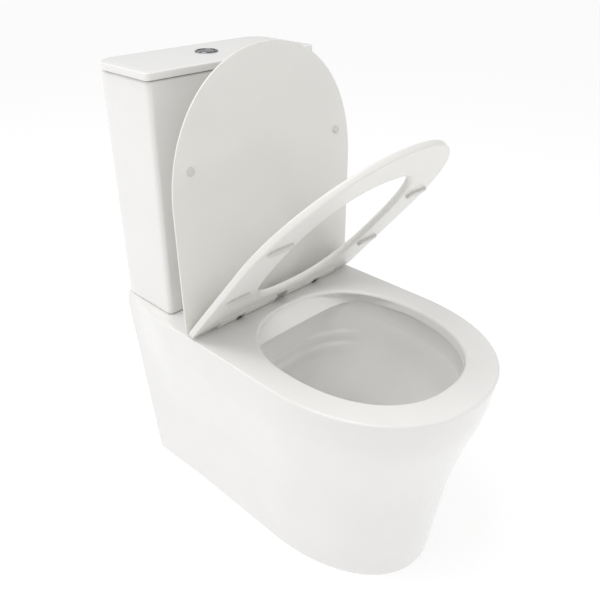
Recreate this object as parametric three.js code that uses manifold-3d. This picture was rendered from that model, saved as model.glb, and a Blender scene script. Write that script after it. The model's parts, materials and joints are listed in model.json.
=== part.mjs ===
// A close coupled toilet: a back-to-wall china pan, a china cistern bolted on top of it, and a slim
// soft-close seat, with the flush valve, the fill valve and every fixing inside.
// Millimetres, +Z up. The floor is z = 0, the wall is the plane y = +WALL_Y and the pan's nose points to -Y.

import * as THREE from "three";
import { mergeVertices } from "three/addons/utils/BufferGeometryUtils.js";
import Module from "manifold-3d";

const wasm = await Module();
wasm.setup();

// ---------------------------------------------------------------- driving dimensions

const DEPTH = 645;
const WALL_Y = DEPTH / 2;
const GAP = 0.3;

// The pan's outline is a D: half widths, the y where the straight side ends, the y of the nose, and
// the exponent of the superellipse that rounds the nose. The deck is the top face, the foot the floor line.
const DECK = { z: 400, halfWidth: 192.2, backHalfWidth: 171.9, straightY: -80.5, noseY: -WALL_Y, power: 2.2 };
const FOOT = { z: 0, halfWidth: 139.1, backHalfWidth: 144.1, straightY: -27.7, noseY: -250.8, power: 2.1 };
const SHOULDER_Y = WALL_Y - 150;
const EDGE = 6;
const FLARE = [[0, 0], [100, 0.17], [200, 0.36], [270, 0.62], [340, 0.89], [DECK.z - EDGE, 1], [DECK.z, 1]];
const CHINA_WALL = 12;
const DECK_THICKNESS = 16;
const HEEL_RELIEF = { y: WALL_Y - 128, height: 4 };

// The bowl, from the rim down: height, half width, rear, widest and front y, and the exponent of its
// rear half. The rim's inner face ends in a lip at LIP_Z, straight across the back, that hides the
// flush outlet in the undercut below it.
const LIP_Z = 380;
const BOWL_POWER = 2.28;
const BOWL = [
  [DECK.z + 1, 146.6, 75.6, -82.2, -270.6, 2.28],
  [DECK.z - 4, 143.6, 72.6, -82.2, -267.6, 2.28],
  [LIP_Z, 142, 39, -82.2, -265.5, 4],
  [LIP_Z - 5, 142, 39, -82.2, -265.5, 4],
  [LIP_Z - 9, 147, 58, -82.2, -269, 3.6],
  [345, 147, 64, -82, -268, 2.8],
  [290, 132, 58, -78, -246, 2.4],
  [245, 108, 47, -70, -208, 2.3],
  [205, 82, 32, -60, -166, 2.2],
  [155, 56, 12, -52, -126, 2.1],
  [110, 40, -4, -48, -97, 2],
  [72, 29, -18, -46, -74, 2],
];

// The trapway runs from the sump up over the weir and out to the spigot at the back. Its weir is
// about 50 higher than the dip of the bowl's rear wall, which is the depth of the water seal.
const TRAP_PATH = [
  [-20, 100], [24, 106], [62, 136], [92, 178], [126, 208], [164, 213], [204, 198], [250, 183],
  [WALL_Y - 8, 180],
];
const TRAP_RADIUS = 33;
const SPIGOT = { z: 180, radius: 51, length: 52 };

// Everything that hangs from the cistern's middle shares this y.
const FLUSH_Y = 254;
const WELL = { radius: 48, floorZ: 376, bore: 28 };
const DUCT = { halfWidth: 33, z0: 355, z1: 368, wall: 10 };
const COUPLING_X = 75;
const FILL_X = -122;
const SEAT_FIXING = { x: 77.5, y: 133, hole: 7 };

const TANK = { z0: 403.5, z1: 789.5, halfWidth0: 172.9, halfWidth1: 167, front0: 182.6, front1: 178, wall: 9 };
const TANK_FLOOR_Z = TANK.z0 + 12;
const LID = { z0: 791.6, z1: 803, halfWidth: 170.4, frontY: 174.4, footZ: 789.8, ribZ: 779 };

const HINGE = { y: 98.8, z: 410.6, pinRadius: 3, barrelRadius: 6.3, postX: 92, armHeight: 2.3 };
const SEAT_OPEN_DEG = 50;
const COVER_OPEN_DEG = 90;

// The seat and the cover are drawn closed, in a frame whose origin is the hinge axis: u runs forward
// along -Y and n runs up. Both share one D outline.
const LEAF = { halfWidth: 193, rearU: -6, straightU: 203.8, noseU: 424.1, power: 2.11 };
const RING = { n0: -5.5, n1: 5.7, halfWidth: 114.2, rearU: 43.3, wideU: 188.7, noseU: 349.1, power: 2.5 };
const COVER = { n0: 9.3, n1: 13.9 };
const STRIP = { halfWidth: 140, n: -8.5, frontU: 14 };

const BUTTON = { radius: 14.2, z0: 790, z1: 805, splitX: -3.3, fullX: 6, halfX: -8.5 };
const ROD_RADIUS = 2.5;
const LEVER = { pivotX: 26, z: 686, tipX: 44 };

// ---------------------------------------------------------------- looks

const CHINA = { color: 0xeeeeec, roughness: 0.12, metalness: 0 };
const SEAT_PLASTIC = { color: 0xe9e8e4, roughness: 0.25, metalness: 0 };
const WHITE_PLASTIC = { color: 0xe4e4e0, roughness: 0.45, metalness: 0 };
const BLUE_PLASTIC = { color: 0x4f7fae, roughness: 0.45, metalness: 0 };
const GREY_PLASTIC = { color: 0x8d9092, roughness: 0.5, metalness: 0 };
const CLEAR_RUBBER = { color: 0xd9d7cf, roughness: 0.5, metalness: 0 };
const BLACK_RUBBER = { color: 0x222222, roughness: 0.8, metalness: 0 };
const CHROME = { color: 0x9a9c9e, roughness: 0.12, metalness: 1 };
const STEEL = { color: 0xb4b6b8, roughness: 0.3, metalness: 1 };
const BRASS = { color: 0xb8964a, roughness: 0.35, metalness: 1 };

// ---------------------------------------------------------------- solids

function solidOf(geometry) {
  const bare = geometry.clone();
  bare.deleteAttribute("normal");
  bare.deleteAttribute("uv");
  const merged = mergeVertices(bare, 1e-4);
  const mesh = new wasm.Mesh({
    numProp: 3,
    vertProperties: merged.attributes.position.array,
    triVerts: new Uint32Array(merged.index.array),
  });
  return new wasm.Manifold(mesh);
}

function geometryOf(solid) {
  const mesh = solid.getMesh();
  const geometry = new THREE.BufferGeometry();
  geometry.setAttribute("position", new THREE.BufferAttribute(mesh.vertProperties, 3));
  geometry.setIndex(new THREE.BufferAttribute(mesh.triVerts, 1));
  geometry.computeVertexNormals();
  return geometry;
}

const join = (first, ...others) => others.reduce((sum, other) => sum.add(other), first);
const cut = (body, ...tools) => tools.reduce((left, tool) => left.subtract(tool), body);
const lerp = THREE.MathUtils.lerp;

function piece(name, look, solid) {
  const mesh = new THREE.Mesh(geometryOf(solid), new THREE.MeshStandardMaterial(look));
  mesh.name = name;
  return mesh;
}

// A closed body through a stack of outlines with equal point counts, each counter-clockwise from above.
function loft(rings) {
  const count = rings[0].length;
  const positions = rings.flat().flatMap((p) => [p.x, p.y, p.z]);
  const index = [];
  for (let i = 0; i + 1 < rings.length; i++) {
    for (let j = 0; j < count; j++) {
      const a = i * count + j;
      const b = i * count + ((j + 1) % count);
      index.push(a, b, b + count, a, b + count, a + count);
    }
  }
  const flat = rings[0].map((p) => new THREE.Vector2(p.x, p.y));
  const top = (rings.length - 1) * count;
  for (const [a, b, c] of THREE.ShapeUtils.triangulateShape(flat, [])) {
    index.push(a, c, b, top + a, top + b, top + c);
  }
  const geometry = new THREE.BufferGeometry();
  geometry.setAttribute("position", new THREE.Float32BufferAttribute(positions, 3));
  geometry.setIndex(index);
  return solidOf(geometry);
}

const ringAt = (outline, z) => outline.map((p) => new THREE.Vector3(p.x, p.y, z));

function box(x0, x1, y0, y1, z0, z1) {
  const geometry = new THREE.BoxGeometry(x1 - x0, y1 - y0, z1 - z0);
  return solidOf(geometry.translate((x0 + x1) / 2, (y0 + y1) / 2, (z0 + z1) / 2));
}

// A round bar along Z, or a hexagonal one with sides = 6.
function bar(x, y, radius, z0, z1, sides = 16) {
  const geometry = new THREE.CylinderGeometry(radius, radius, z1 - z0, sides);
  return solidOf(geometry.rotateX(Math.PI / 2).translate(x, y, (z0 + z1) / 2));
}

// A round bar along X.
function crossBar(y, z, radius, x0, x1, sides = 16) {
  const geometry = new THREE.CylinderGeometry(radius, radius, x1 - x0, sides);
  return solidOf(geometry.rotateZ(Math.PI / 2).translate((x0 + x1) / 2, y, z));
}

// A round bar along Y, centred on the flush valve's plane.
function pivotBar(x, z, radius, length, sides) {
  return solidOf(new THREE.CylinderGeometry(radius, radius, length, sides).translate(x, FLUSH_Y, z));
}

// A body of revolution about the vertical through (x, y); the profile is [radius, z] pairs that
// run up the outside and back down the inside.
function turned(x, y, profile, sides = 24) {
  const points = [...profile, profile[0]].map(([radius, z]) => new THREE.Vector2(radius, z));
  const geometry = new THREE.LatheGeometry(points, sides);
  return solidOf(geometry.rotateX(Math.PI / 2).translate(x, y, 0));
}

const tube = (x, y, inner, outer, z0, z1, sides = 24) =>
  turned(x, y, [[outer, z0], [outer, z1], [inner, z1], [inner, z0]], sides);

// A nut: flat sides outside, a round bore inside.
const nut = (x, y, bore, radius, z0, z1, sides) =>
  cut(bar(x, y, radius, z0, z1, sides), bar(x, y, bore, z0 - 1, z1 + 1, 32));

// ---------------------------------------------------------------- outlines

// One quarter of a superellipse, from (0, -depth) at the nose to (width, 0).
function quarter(width, depth, power, steps) {
  const points = [];
  for (let i = 0; i <= steps; i++) {
    const angle = (i / steps) * (Math.PI / 2);
    const x = width * Math.sin(angle) ** (2 / power);
    const y = -depth * Math.max(Math.cos(angle), 0) ** (2 / power);
    points.push(new THREE.Vector2(x, i === steps ? 0 : y));
  }
  return points;
}

// The right half of an outline, nose first, completed by its mirror image.
function mirrored(half) {
  const left = half.filter((p) => p.x > 1e-6).reverse();
  return [...half, ...left.map((p) => new THREE.Vector2(-p.x, p.y))];
}

function flareAt(z) {
  const k = FLARE.findIndex(([height]) => height >= z);
  if (k <= 0) {
    return FLARE[0][1];
  }
  const [[z0, s0], [z1, s1]] = [FLARE[k - 1], FLARE[k]];
  return lerp(s0, s1, (z - z0) / (z1 - z0));
}

function panOutline(z, inset, backY = WALL_Y) {
  const height = THREE.MathUtils.clamp(z, 0, DECK.z);
  const flare = flareAt(height);
  const between = (key, mix) => lerp(FOOT[key], DECK[key], mix);
  const width = between("halfWidth", flare) - inset;
  const backWidth = between("backHalfWidth", height / DECK.z) - inset;
  const straightY = between("straightY", flare);
  const depth = straightY - between("noseY", flare) - inset;
  const half = quarter(width, depth, between("power", flare), 12);
  half.forEach((p) => {
    p.y += straightY;
  });
  const steps = 4;
  for (let i = 0; i <= steps; i++) {
    const along = i / steps;
    const x = lerp(width, backWidth, THREE.MathUtils.smoothstep(along, 0, 1));
    half.push(new THREE.Vector2(x, lerp(SHOULDER_Y, backY, along)));
  }
  return mirrored(half);
}

// An egg: its front and rear halves are superellipse quarters that meet at the widest line.
function eggOutline(width, rearY, wideY, frontY, power, rearPower = power, steps = 8) {
  const front = quarter(width, wideY - frontY, power, steps);
  const rear = quarter(width, rearY - wideY, rearPower, steps).slice(0, -1).reverse();
  front.forEach((p) => {
    p.y += wideY;
  });
  rear.forEach((p) => {
    p.y = wideY - p.y;
  });
  return mirrored([...front, ...rear]);
}

// A rectangle with its own corner radius at the front and at the back.
function roundedOutline(halfWidth, frontY, backY, frontRadius, backRadius) {
  const arc = (cx, cy, radius, from) => {
    const points = [];
    const steps = 4;
    for (let i = 0; i <= steps; i++) {
      const angle = from + (i / steps) * (Math.PI / 2);
      points.push(new THREE.Vector2(cx + radius * Math.cos(angle), cy + radius * Math.sin(angle)));
    }
    return points;
  };
  const right = [
    ...arc(halfWidth - frontRadius, frontY + frontRadius, frontRadius, -Math.PI / 2),
    ...arc(halfWidth - backRadius, backY - backRadius, backRadius, 0),
  ];
  return mirrored(right);
}

// ---------------------------------------------------------------- pan

function bowlBody(outset, drop) {
  const rings = BOWL.map(([z, width, rearY, wideY, frontY, rearPower]) => {
    const outline = eggOutline(width + outset, rearY + outset, wideY, frontY - outset, BOWL_POWER, rearPower);
    return ringAt(outline, z - drop);
  });
  return loft(rings.reverse());
}

function trapTube(radius, startY, endY) {
  const route = [[startY, TRAP_PATH[0][1]], ...TRAP_PATH, [endY, SPIGOT.z]];
  const points = route.map(([y, z]) => new THREE.Vector3(0, y, z));
  const circle = new THREE.Shape().absarc(0, 0, radius, 0, 2 * Math.PI);
  const path = new THREE.CatmullRomCurve3(points);
  const settings = { steps: 22, curveSegments: 7, bevelEnabled: false, extrudePath: path };
  return solidOf(new THREE.ExtrudeGeometry(circle, settings));
}

function makePan() {
  const skirtLevels = [
    [0, 5], [6, 0], [100, 0], [200, 0], [270, 0], [340, 0], [DECK.z - EDGE, 0], [DECK.z - 1.5, 2], [DECK.z, 5],
  ];
  const outside = loft(skirtLevels.map(([z, inset]) => ringAt(panOutline(z, inset), z)));
  const insideLevels = [-5, 100, 200, 270, 340, DECK.z - DECK_THICKNESS];
  const inside = loft(insideLevels.map((z) => ringAt(panOutline(z, CHINA_WALL, WALL_Y + 20), z)));
  const heel = box(-200, 200, HEEL_RELIEF.y, WALL_Y + 1, -1, HEEL_RELIEF.height);
  const shell = cut(outside, inside, heel);

  const bowlWall = bowlBody(11, 12);
  const spigot = crossSpigot(SPIGOT.radius, WALL_Y - 4 - SPIGOT.length, WALL_Y - 4);
  const ductFloorZ = DUCT.z0 - DUCT.wall;
  const wellWall = bar(0, FLUSH_Y, WELL.radius + 10, ductFloorZ, 390, 24);
  const ductWidth = DUCT.halfWidth + DUCT.wall;
  const duct = box(-ductWidth, ductWidth, 52, FLUSH_Y, ductFloorZ, DECK.z - DECK_THICKNESS + 1);
  const trapWall = trapTube(TRAP_RADIUS + 11, -71, WALL_Y - 2);
  const walls = join(shell, bowlWall, trapWall, spigot, wellWall, duct);
  const behind = box(-250, 250, WALL_Y - 1e-3, WALL_Y + 60, -10, DECK.z + 10);

  const hollows = [
    bowlBody(0, 0),
    trapTube(TRAP_RADIUS, -60, WALL_Y + 30),
    bar(0, FLUSH_Y, WELL.radius, WELL.floorZ, DECK.z + 5, 24),
    bar(0, FLUSH_Y, WELL.bore, DUCT.z0 + 1, WELL.floorZ + 1, 24),
    box(-DUCT.halfWidth, DUCT.halfWidth, 40, FLUSH_Y + WELL.bore, DUCT.z0, DUCT.z1),
    bar(FILL_X, FLUSH_Y, 22, DECK.z - 30, DECK.z + 5),
  ];
  for (const side of [-1, 1]) {
    hollows.push(bar(side * COUPLING_X, FLUSH_Y, 7, DECK.z - 30, DECK.z + 5));
    hollows.push(bar(side * SEAT_FIXING.x, SEAT_FIXING.y, SEAT_FIXING.hole, DECK.z - 30, DECK.z + 5));
  }
  return piece("pan", CHINA, cut(walls, behind, ...hollows));
}

// The outlet spigot is a short round bar along Y.
function crossSpigot(radius, y0, y1) {
  const geometry = new THREE.CylinderGeometry(radius, radius, y1 - y0, 28);
  return solidOf(geometry.translate(0, (y0 + y1) / 2, SPIGOT.z));
}

// ---------------------------------------------------------------- cistern

function tankRing(z, inset, backInset = inset) {
  const along = (z - TANK.z0) / (TANK.z1 - TANK.z0);
  const halfWidth = lerp(TANK.halfWidth0, TANK.halfWidth1, along) - inset;
  const frontY = lerp(TANK.front0, TANK.front1, along) + inset;
  const frontRadius = Math.max(9 - inset / 2, 3);
  return ringAt(roundedOutline(halfWidth, frontY, WALL_Y - backInset, frontRadius, 28 - inset), z);
}

function makeCistern() {
  const outside = loft([
    tankRing(TANK.z0, 3, 0),
    tankRing(TANK.z0 + 4, 0),
    tankRing(TANK.z1 - 3, 0),
    tankRing(TANK.z1, 2.5, 0),
  ]);
  const inside = loft([tankRing(TANK_FLOOR_Z, TANK.wall), tankRing(TANK.z1 + 5, TANK.wall)]);
  const holes = [
    bar(0, FLUSH_Y, 31, TANK.z0 - 5, TANK_FLOOR_Z + 5, 28),
    bar(FILL_X, FLUSH_Y, 11.5, TANK.z0 - 5, TANK_FLOOR_Z + 5),
    bar(-COUPLING_X, FLUSH_Y, 6, TANK.z0 - 5, TANK_FLOOR_Z + 5),
    bar(COUPLING_X, FLUSH_Y, 6, TANK.z0 - 5, TANK_FLOOR_Z + 5),
  ];
  return piece("cistern", CHINA, cut(outside, inside, ...holes));
}

function makeLid() {
  const lidRing = (z, inset, backInset) =>
    ringAt(roundedOutline(LID.halfWidth - inset, LID.frontY + inset, WALL_Y - backInset, 7, 38 - inset), z);
  const plate = loft([
    lidRing(LID.z0, 1, 0),
    lidRing(LID.z0 + 1.5, 0, 0),
    lidRing(LID.z1 - 2.5, 0, 0),
    lidRing(LID.z1 - 0.7, 0.8, 0.6),
    lidRing(LID.z1, 2.8, 2.5),
  ]);
  const foot = loft([lidRing(LID.footZ, 8, 6), lidRing(LID.z0 + 1, 8, 6)]);
  const rib = loft([lidRing(LID.ribZ, 16, 12), lidRing(LID.z0 + 1, 16, 12)]);
  const ribHollow = loft([lidRing(LID.ribZ - 1, 22, 18), lidRing(LID.footZ, 22, 18)]);
  const solid = cut(join(plate, foot, cut(rib, ribHollow)), bar(0, FLUSH_Y, 18, LID.ribZ, LID.z1 + 5, 28));
  return piece("cistern_lid", CHINA, solid);
}

// ---------------------------------------------------------------- flush button

const HOUSING_FLOOR_Z = 770;

function makeButtonHousing() {
  const shell = turned(0, FLUSH_Y, [
    [16.5, HOUSING_FLOOR_Z], [16.5, LID.z1 + GAP], [19, LID.z1 + GAP], [19, LID.z1 + 1.5], [18.2, LID.z1 + 2.7],
    [14.6, LID.z1 + 2.7], [14.6, HOUSING_FLOOR_Z],
  ]);
  const floor = bar(0, FLUSH_Y, 15.5, HOUSING_FLOOR_Z, HOUSING_FLOOR_Z + 2.5, 24);
  const rodHoles = [BUTTON.fullX, BUTTON.halfX].map((x) =>
    bar(x, FLUSH_Y, ROD_RADIUS + 0.6, HOUSING_FLOOR_Z - 1, HOUSING_FLOOR_Z + 4, 12));
  return piece("button_housing", CHROME, cut(join(shell, floor), ...rodHoles));
}

function makeButton(name, keepX0, keepX1) {
  const dome = turned(0, FLUSH_Y, [
    [BUTTON.radius, BUTTON.z0], [BUTTON.radius, BUTTON.z1 - 1], [BUTTON.radius - 1, BUTTON.z1 - 0.2],
    [0, BUTTON.z1], [0, BUTTON.z0],
  ]);
  return piece(name, CHROME, dome.intersect(box(keepX0, keepX1, FLUSH_Y - 20, FLUSH_Y + 20, 780, 820)));
}

function makeRod(name, x) {
  const rod = bar(x, FLUSH_Y, ROD_RADIUS, LEVER.z + 6.8, BUTTON.z0 - GAP, 12);
  return piece(name, WHITE_PLASTIC, rod);
}

// A compression spring between the housing's floor and the underside of its button.
function makeButtonSpring(name, x) {
  const turns = 3;
  const radius = 3.9;
  const wire = 0.45;
  const z0 = HOUSING_FLOOR_Z + 2.5 + GAP + wire;
  const z1 = BUTTON.z0 - GAP - wire;
  const points = [];
  for (let i = 0; i <= turns * 8; i++) {
    const along = i / (turns * 8);
    const angle = along * turns * 2 * Math.PI;
    points.push(new THREE.Vector3(
      x + radius * Math.cos(angle), FLUSH_Y + radius * Math.sin(angle), lerp(z0, z1, along)));
  }
  const circle = new THREE.Shape().absarc(0, 0, wire, 0, 2 * Math.PI);
  const path = new THREE.CatmullRomCurve3(points);
  const settings = { steps: turns * 8, curveSegments: 3, bevelEnabled: false, extrudePath: path };
  return piece(name, STEEL, solidOf(new THREE.ExtrudeGeometry(circle, settings)));
}

// ---------------------------------------------------------------- flush valve

const VALVE = {
  tailZ: 381, washerZ: TANK_FLOOR_Z + GAP, flangeZ: TANK_FLOOR_Z + 3.6, seatZ: 430, cageZ: 478, headZ: 660,
};

function makeValveBase() {
  const body = turned(0, FLUSH_Y, [
    [30, VALVE.tailZ], [30, VALVE.flangeZ], [42, VALVE.flangeZ], [42, VALVE.flangeZ + 5],
    [30, VALVE.flangeZ + 5], [30, VALVE.seatZ], [25, VALVE.seatZ], [25, VALVE.tailZ],
  ]);
  const cage = tube(0, FLUSH_Y, 35, 39, VALVE.flangeZ + 2, VALVE.cageZ, 24);
  const windowZ = [VALVE.flangeZ + 8, VALVE.cageZ - 8];
  const windows = [
    box(-26, 26, FLUSH_Y - 60, FLUSH_Y + 60, ...windowZ),
    box(-60, 60, FLUSH_Y - 26, FLUSH_Y + 26, ...windowZ),
  ];
  return piece("flush_valve_base", WHITE_PLASTIC, join(body, cut(cage, ...windows)));
}

function makeValveTower() {
  const wall = tube(0, FLUSH_Y, 31, 35.5, VALVE.cageZ + GAP, VALVE.headZ);
  const slots = box(-60, 60, FLUSH_Y - 9, FLUSH_Y + 9, VALVE.cageZ + 12, VALVE.headZ - 12);
  const ears = [-1, 1].flatMap((side) =>
    [-9, 9].map((y) => {
      const x = side * LEVER.pivotX;
      return box(x - 4, x + 4, FLUSH_Y + y - 2, FLUSH_Y + y + 2, VALVE.headZ - 14, LEVER.z + 5);
    }));
  const pins = [-1, 1].map((side) => pivotBar(side * LEVER.pivotX, LEVER.z, 2, 18, 12));
  return piece("flush_valve_tower", BLUE_PLASTIC, join(cut(wall, slots), ...ears, ...pins));
}

// The overflow pipe carries the flange that presses the seal down, and a yoke that the levers lift.
function makeOverflowTube() {
  const pipe = turned(0, FLUSH_Y, [
    [13.5, VALVE.seatZ - 6], [13.5, VALVE.seatZ + 4], [29, VALVE.seatZ + 4], [29, VALVE.seatZ + 8],
    [13.5, VALVE.seatZ + 8], [13.5, 655], [11, 655], [11, VALVE.seatZ - 6],
  ]);
  const yokeZ = 630;
  const yoke = cut(
    join(
      box(-42, 42, FLUSH_Y - 5, FLUSH_Y + 5, yokeZ, yokeZ + 5),
      box(38.5, 43.5, FLUSH_Y - 5, FLUSH_Y + 5, yokeZ, LEVER.z + 9),
      box(38.5, 50, FLUSH_Y - 5, FLUSH_Y + 5, LEVER.z + 6, LEVER.z + 9),
      box(-43.5, -38.5, FLUSH_Y - 5, FLUSH_Y + 5, yokeZ, LEVER.z + 16),
      box(-50, -38.5, FLUSH_Y - 5, FLUSH_Y + 5, LEVER.z + 13, LEVER.z + 16),
    ),
    bar(0, FLUSH_Y, 12, yokeZ - 5, yokeZ + 10),
  );
  return piece("overflow_tube", WHITE_PLASTIC, join(pipe, yoke));
}

// A rocker with its input pad under the push rod; its far end is a fork whose prongs pass either side
// of the yoke's upright and lift the lip above them.
function makeLever(name, side, inputX) {
  const [z0, z1] = [LEVER.z + 0.5, LEVER.z + 5.5];
  const spanBox = (x0, x1, y0, y1, low = z0, high = z1) =>
    box(Math.min(side * x0, side * x1), Math.max(side * x0, side * x1), FLUSH_Y + y0, FLUSH_Y + y1, low, high);
  const beam = spanBox(Math.abs(inputX) * Math.sign(side * inputX) - 3.5, 36, -3.5, 3.5);
  const bridge = spanBox(34, 37.5, -9.5, 9.5);
  const prongs = [-7.5, 7.5].map((y) => spanBox(36, LEVER.tipX + 5, y - 2, y + 2));
  const hub = pivotBar(side * LEVER.pivotX, LEVER.z, 4.6, 13, 16);
  const bore = pivotBar(side * LEVER.pivotX, LEVER.z, 2.35, 20, 12);
  return piece(name, WHITE_PLASTIC, cut(join(beam, bridge, ...prongs, hub), bore));
}

// ---------------------------------------------------------------- fill valve

const FILL = { riserTopZ: 700, headTopZ: 722, leverZ: 729, linkX: 25 };

function makeFillBody() {
  const solid = turned(FILL_X, FLUSH_Y, [
    [10, 360], [10, TANK_FLOOR_Z + 3.4], [17, TANK_FLOOR_Z + 3.4], [17, TANK_FLOOR_Z + 8],
    [9.5, TANK_FLOOR_Z + 8], [9.5, FILL.riserTopZ], [16, FILL.riserTopZ], [16, FILL.headTopZ], [0, FILL.headTopZ],
    [0, 640], [6, 640], [6, 360],
  ]);
  return piece("fill_valve_body", WHITE_PLASTIC, solid);
}

function makeFillCap() {
  const top = turned(FILL_X, FLUSH_Y, [
    [17.5, FILL.headTopZ + GAP], [17.5, FILL.headTopZ + 4], [15, FILL.headTopZ + 5.5], [0, FILL.headTopZ + 5.5],
    [0, FILL.headTopZ + GAP],
  ]);
  const ears = [-5.5, 5.5].map((y) =>
    box(FILL_X + 4, FILL_X + 12, FLUSH_Y + y - 1.5, FLUSH_Y + y + 1.5, FILL.headTopZ + 3, FILL.leverZ + 9));
  const pin = pivotBar(FILL_X + 8, FILL.leverZ + 5, 1.3, 11, 12);
  return piece("fill_valve_cap", WHITE_PLASTIC, join(top, ...ears, pin));
}

function makeFillLever() {
  const z = FILL.leverZ + 5;
  const beam = box(FILL_X + 4, FILL_X + FILL.linkX + 4, FLUSH_Y - 3, FLUSH_Y + 3, z - 2.4, z + 2.4);
  const bore = pivotBar(FILL_X + 8, z, 1.65, 20, 12);
  return piece("fill_valve_lever", BLUE_PLASTIC, cut(beam, bore));
}

// The float cup slides up the riser; its link stands beside the head, under the lever's tip.
function makeFloat() {
  const cup = turned(FILL_X, FLUSH_Y, [
    [32, 590], [32, 645], [12, 645], [12, 590], [14.5, 590], [14.5, 641], [29.5, 641], [29.5, 590],
  ]);
  return piece("fill_valve_float", WHITE_PLASTIC, cup);
}

function makeFloatLink() {
  const x = FILL_X + FILL.linkX;
  return piece("fill_valve_link", GREY_PLASTIC, bar(x, FLUSH_Y, 1.8, 645 + GAP, FILL.leverZ + 2, 12));
}

// ---------------------------------------------------------------- cistern fixings

function makeCouplingBolt(name, x) {
  const shank = bar(x, FLUSH_Y, 4, 356, TANK_FLOOR_Z + 4.5);
  const head = bar(x, FLUSH_Y, 7.5, TANK_FLOOR_Z + 4.2, TANK_FLOOR_Z + 9.5, 6);
  return piece(name, BRASS, join(shank, head));
}

function makeWingNut(name, x) {
  const hub = tube(x, FLUSH_Y, 4.3, 8, 372, 381.6, 16);
  const wings = [-1, 1].map((side) => {
    const y = FLUSH_Y + side * 13;
    return cut(box(x - 1.6, x + 1.6, y - 7, y + 7, 368, 379), bar(x, FLUSH_Y, 6, 360, 390));
  });
  return piece(name, BRASS, join(hub, ...wings));
}

// ---------------------------------------------------------------- seat

const leafLevel = (n, inset) => {
  const depth = LEAF.noseU - LEAF.straightU - inset;
  const half = quarter(LEAF.halfWidth - inset, depth, LEAF.power, 11);
  half.forEach((p) => {
    p.y -= LEAF.straightU;
  });
  const corner = 7;
  const width = LEAF.halfWidth - inset;
  const rear = -LEAF.rearU - inset / 2;
  for (let i = 0; i <= 3; i++) {
    const angle = (i / 3) * (Math.PI / 2);
    const [x, y] = [width - corner + corner * Math.cos(angle), rear - corner + corner * Math.sin(angle)];
    half.push(new THREE.Vector2(x, y));
  }
  return ringAt(mirrored(half), n);
};

const ringHole = (n, outset) => {
  const [rear, nose] = [-RING.rearU + outset, -RING.noseU - outset];
  return ringAt(eggOutline(RING.halfWidth + outset, rear, -RING.wideU, nose, RING.power), n);
};

function makeSeatRing() {
  const bodyLevels = [[RING.n0, 2], [RING.n0 + 2.5, 0], [RING.n1 - 2, 0], [RING.n1, 3]];
  const body = loft(bodyLevels.map(([n, inset]) => leafLevel(n, inset)));
  const strip = box(-STRIP.halfWidth, STRIP.halfWidth, -STRIP.frontU, -LEAF.rearU, STRIP.n, 0);
  const holeLevels = [[RING.n0 - 1, 9], [-2, 1.5], [0, 0], [3.5, 0], [RING.n1 + 1, 4]];
  const hole = loft(holeLevels.map(([n, outset]) => ringHole(n, outset)));
  const cuts = [hole, box(-12, 12, -14.5, 10, -12, 12)];
  for (const side of [-1, 1]) {
    const span = (a, b) => (side < 0 ? [-b, -a] : [a, b]);
    cuts.push(box(...span(38, 104), -8, 10, -7, 12));
    cuts.push(box(...span(HINGE.postX - 9, HINGE.postX + 9), -9, 10, -12, 12));
    cuts.push(crossBar(0, 0, HINGE.pinRadius + 0.3, ...span(29.5, 38.5)));
    cuts.push(crossBar(0, 0, HINGE.pinRadius + 0.3, ...span(103.5, 119)));
  }
  return piece("seat_ring", SEAT_PLASTIC, cut(join(body, strip), ...cuts));
}

function makeSeatCover() {
  const bodyLevels = [[COVER.n0, 0.8], [COVER.n0 + 0.8, 0], [COVER.n1 - 1.6, 0], [COVER.n1, 3.5]];
  const body = loft(bodyLevels.map(([n, inset]) => leafLevel(n, inset)));
  const lugs = [-1, 1].map((side) => {
    const [x0, x1] = side < 0 ? [-51, -39] : [39, 51];
    const lug = join(crossBar(0, 0, 5.4, x0, x1), box(x0, x1, -5.4, 5.4, 0, COVER.n0 + 1));
    return cut(lug, crossBar(0, 0, HINGE.pinRadius + 0.3, x0 - 1, x1 + 1));
  });
  return piece("seat_cover", SEAT_PLASTIC, join(body, ...lugs));
}

function obround(cx, cy, length, width) {
  const half = (length - width) / 2;
  const points = [];
  for (const side of [1, -1]) {
    for (let i = 0; i <= 6; i++) {
      const angle = -Math.PI / 2 + (i / 6) * Math.PI;
      const x = half + (width / 2) * Math.cos(angle);
      const y = (width / 2) * Math.sin(angle);
      points.push(new THREE.Vector2(cx + side * x, cy + side * y));
    }
  }
  return points;
}

// The ring's buffers carry it on the pan's deck; the cover's two carry the cover on the ring.
function makeSeatBuffer(name, x, u) {
  const n0 = DECK.z - HINGE.z + GAP;
  const pad = loft([
    ringAt(obround(x, -u, 44, 9), n0),
    ringAt(obround(x, -u, 48, 13), n0 + 1.5),
    ringAt(obround(x, -u, 48, 13), RING.n0 - GAP),
  ]);
  return piece(name, CLEAR_RUBBER, pad);
}

function makeCoverBuffer(name, x) {
  const [low, high] = [RING.n1 + GAP, COVER.n0 - GAP];
  const pad = turned(x, -262, [[5, low], [6.5, low + 1], [6.5, high], [0, high], [0, low]], 16);
  return piece(name, CLEAR_RUBBER, pad);
}

// The ribbed push that frees the seat from its posts, in the notch at the middle of the ring's rear edge.
function makeReleaseButton() {
  const block = box(-11.5, 11.5, -10.5, 5, -7, 4.5);
  const ribs = [-8, -4, 0, 4, 8].map((x) => box(x - 0.9, x + 0.9, -10.5, 5, -8.2, -6.5));
  return piece("release_button", GREY_PLASTIC, join(block, ...ribs));
}

// ---------------------------------------------------------------- seat hinge and fixings

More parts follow.
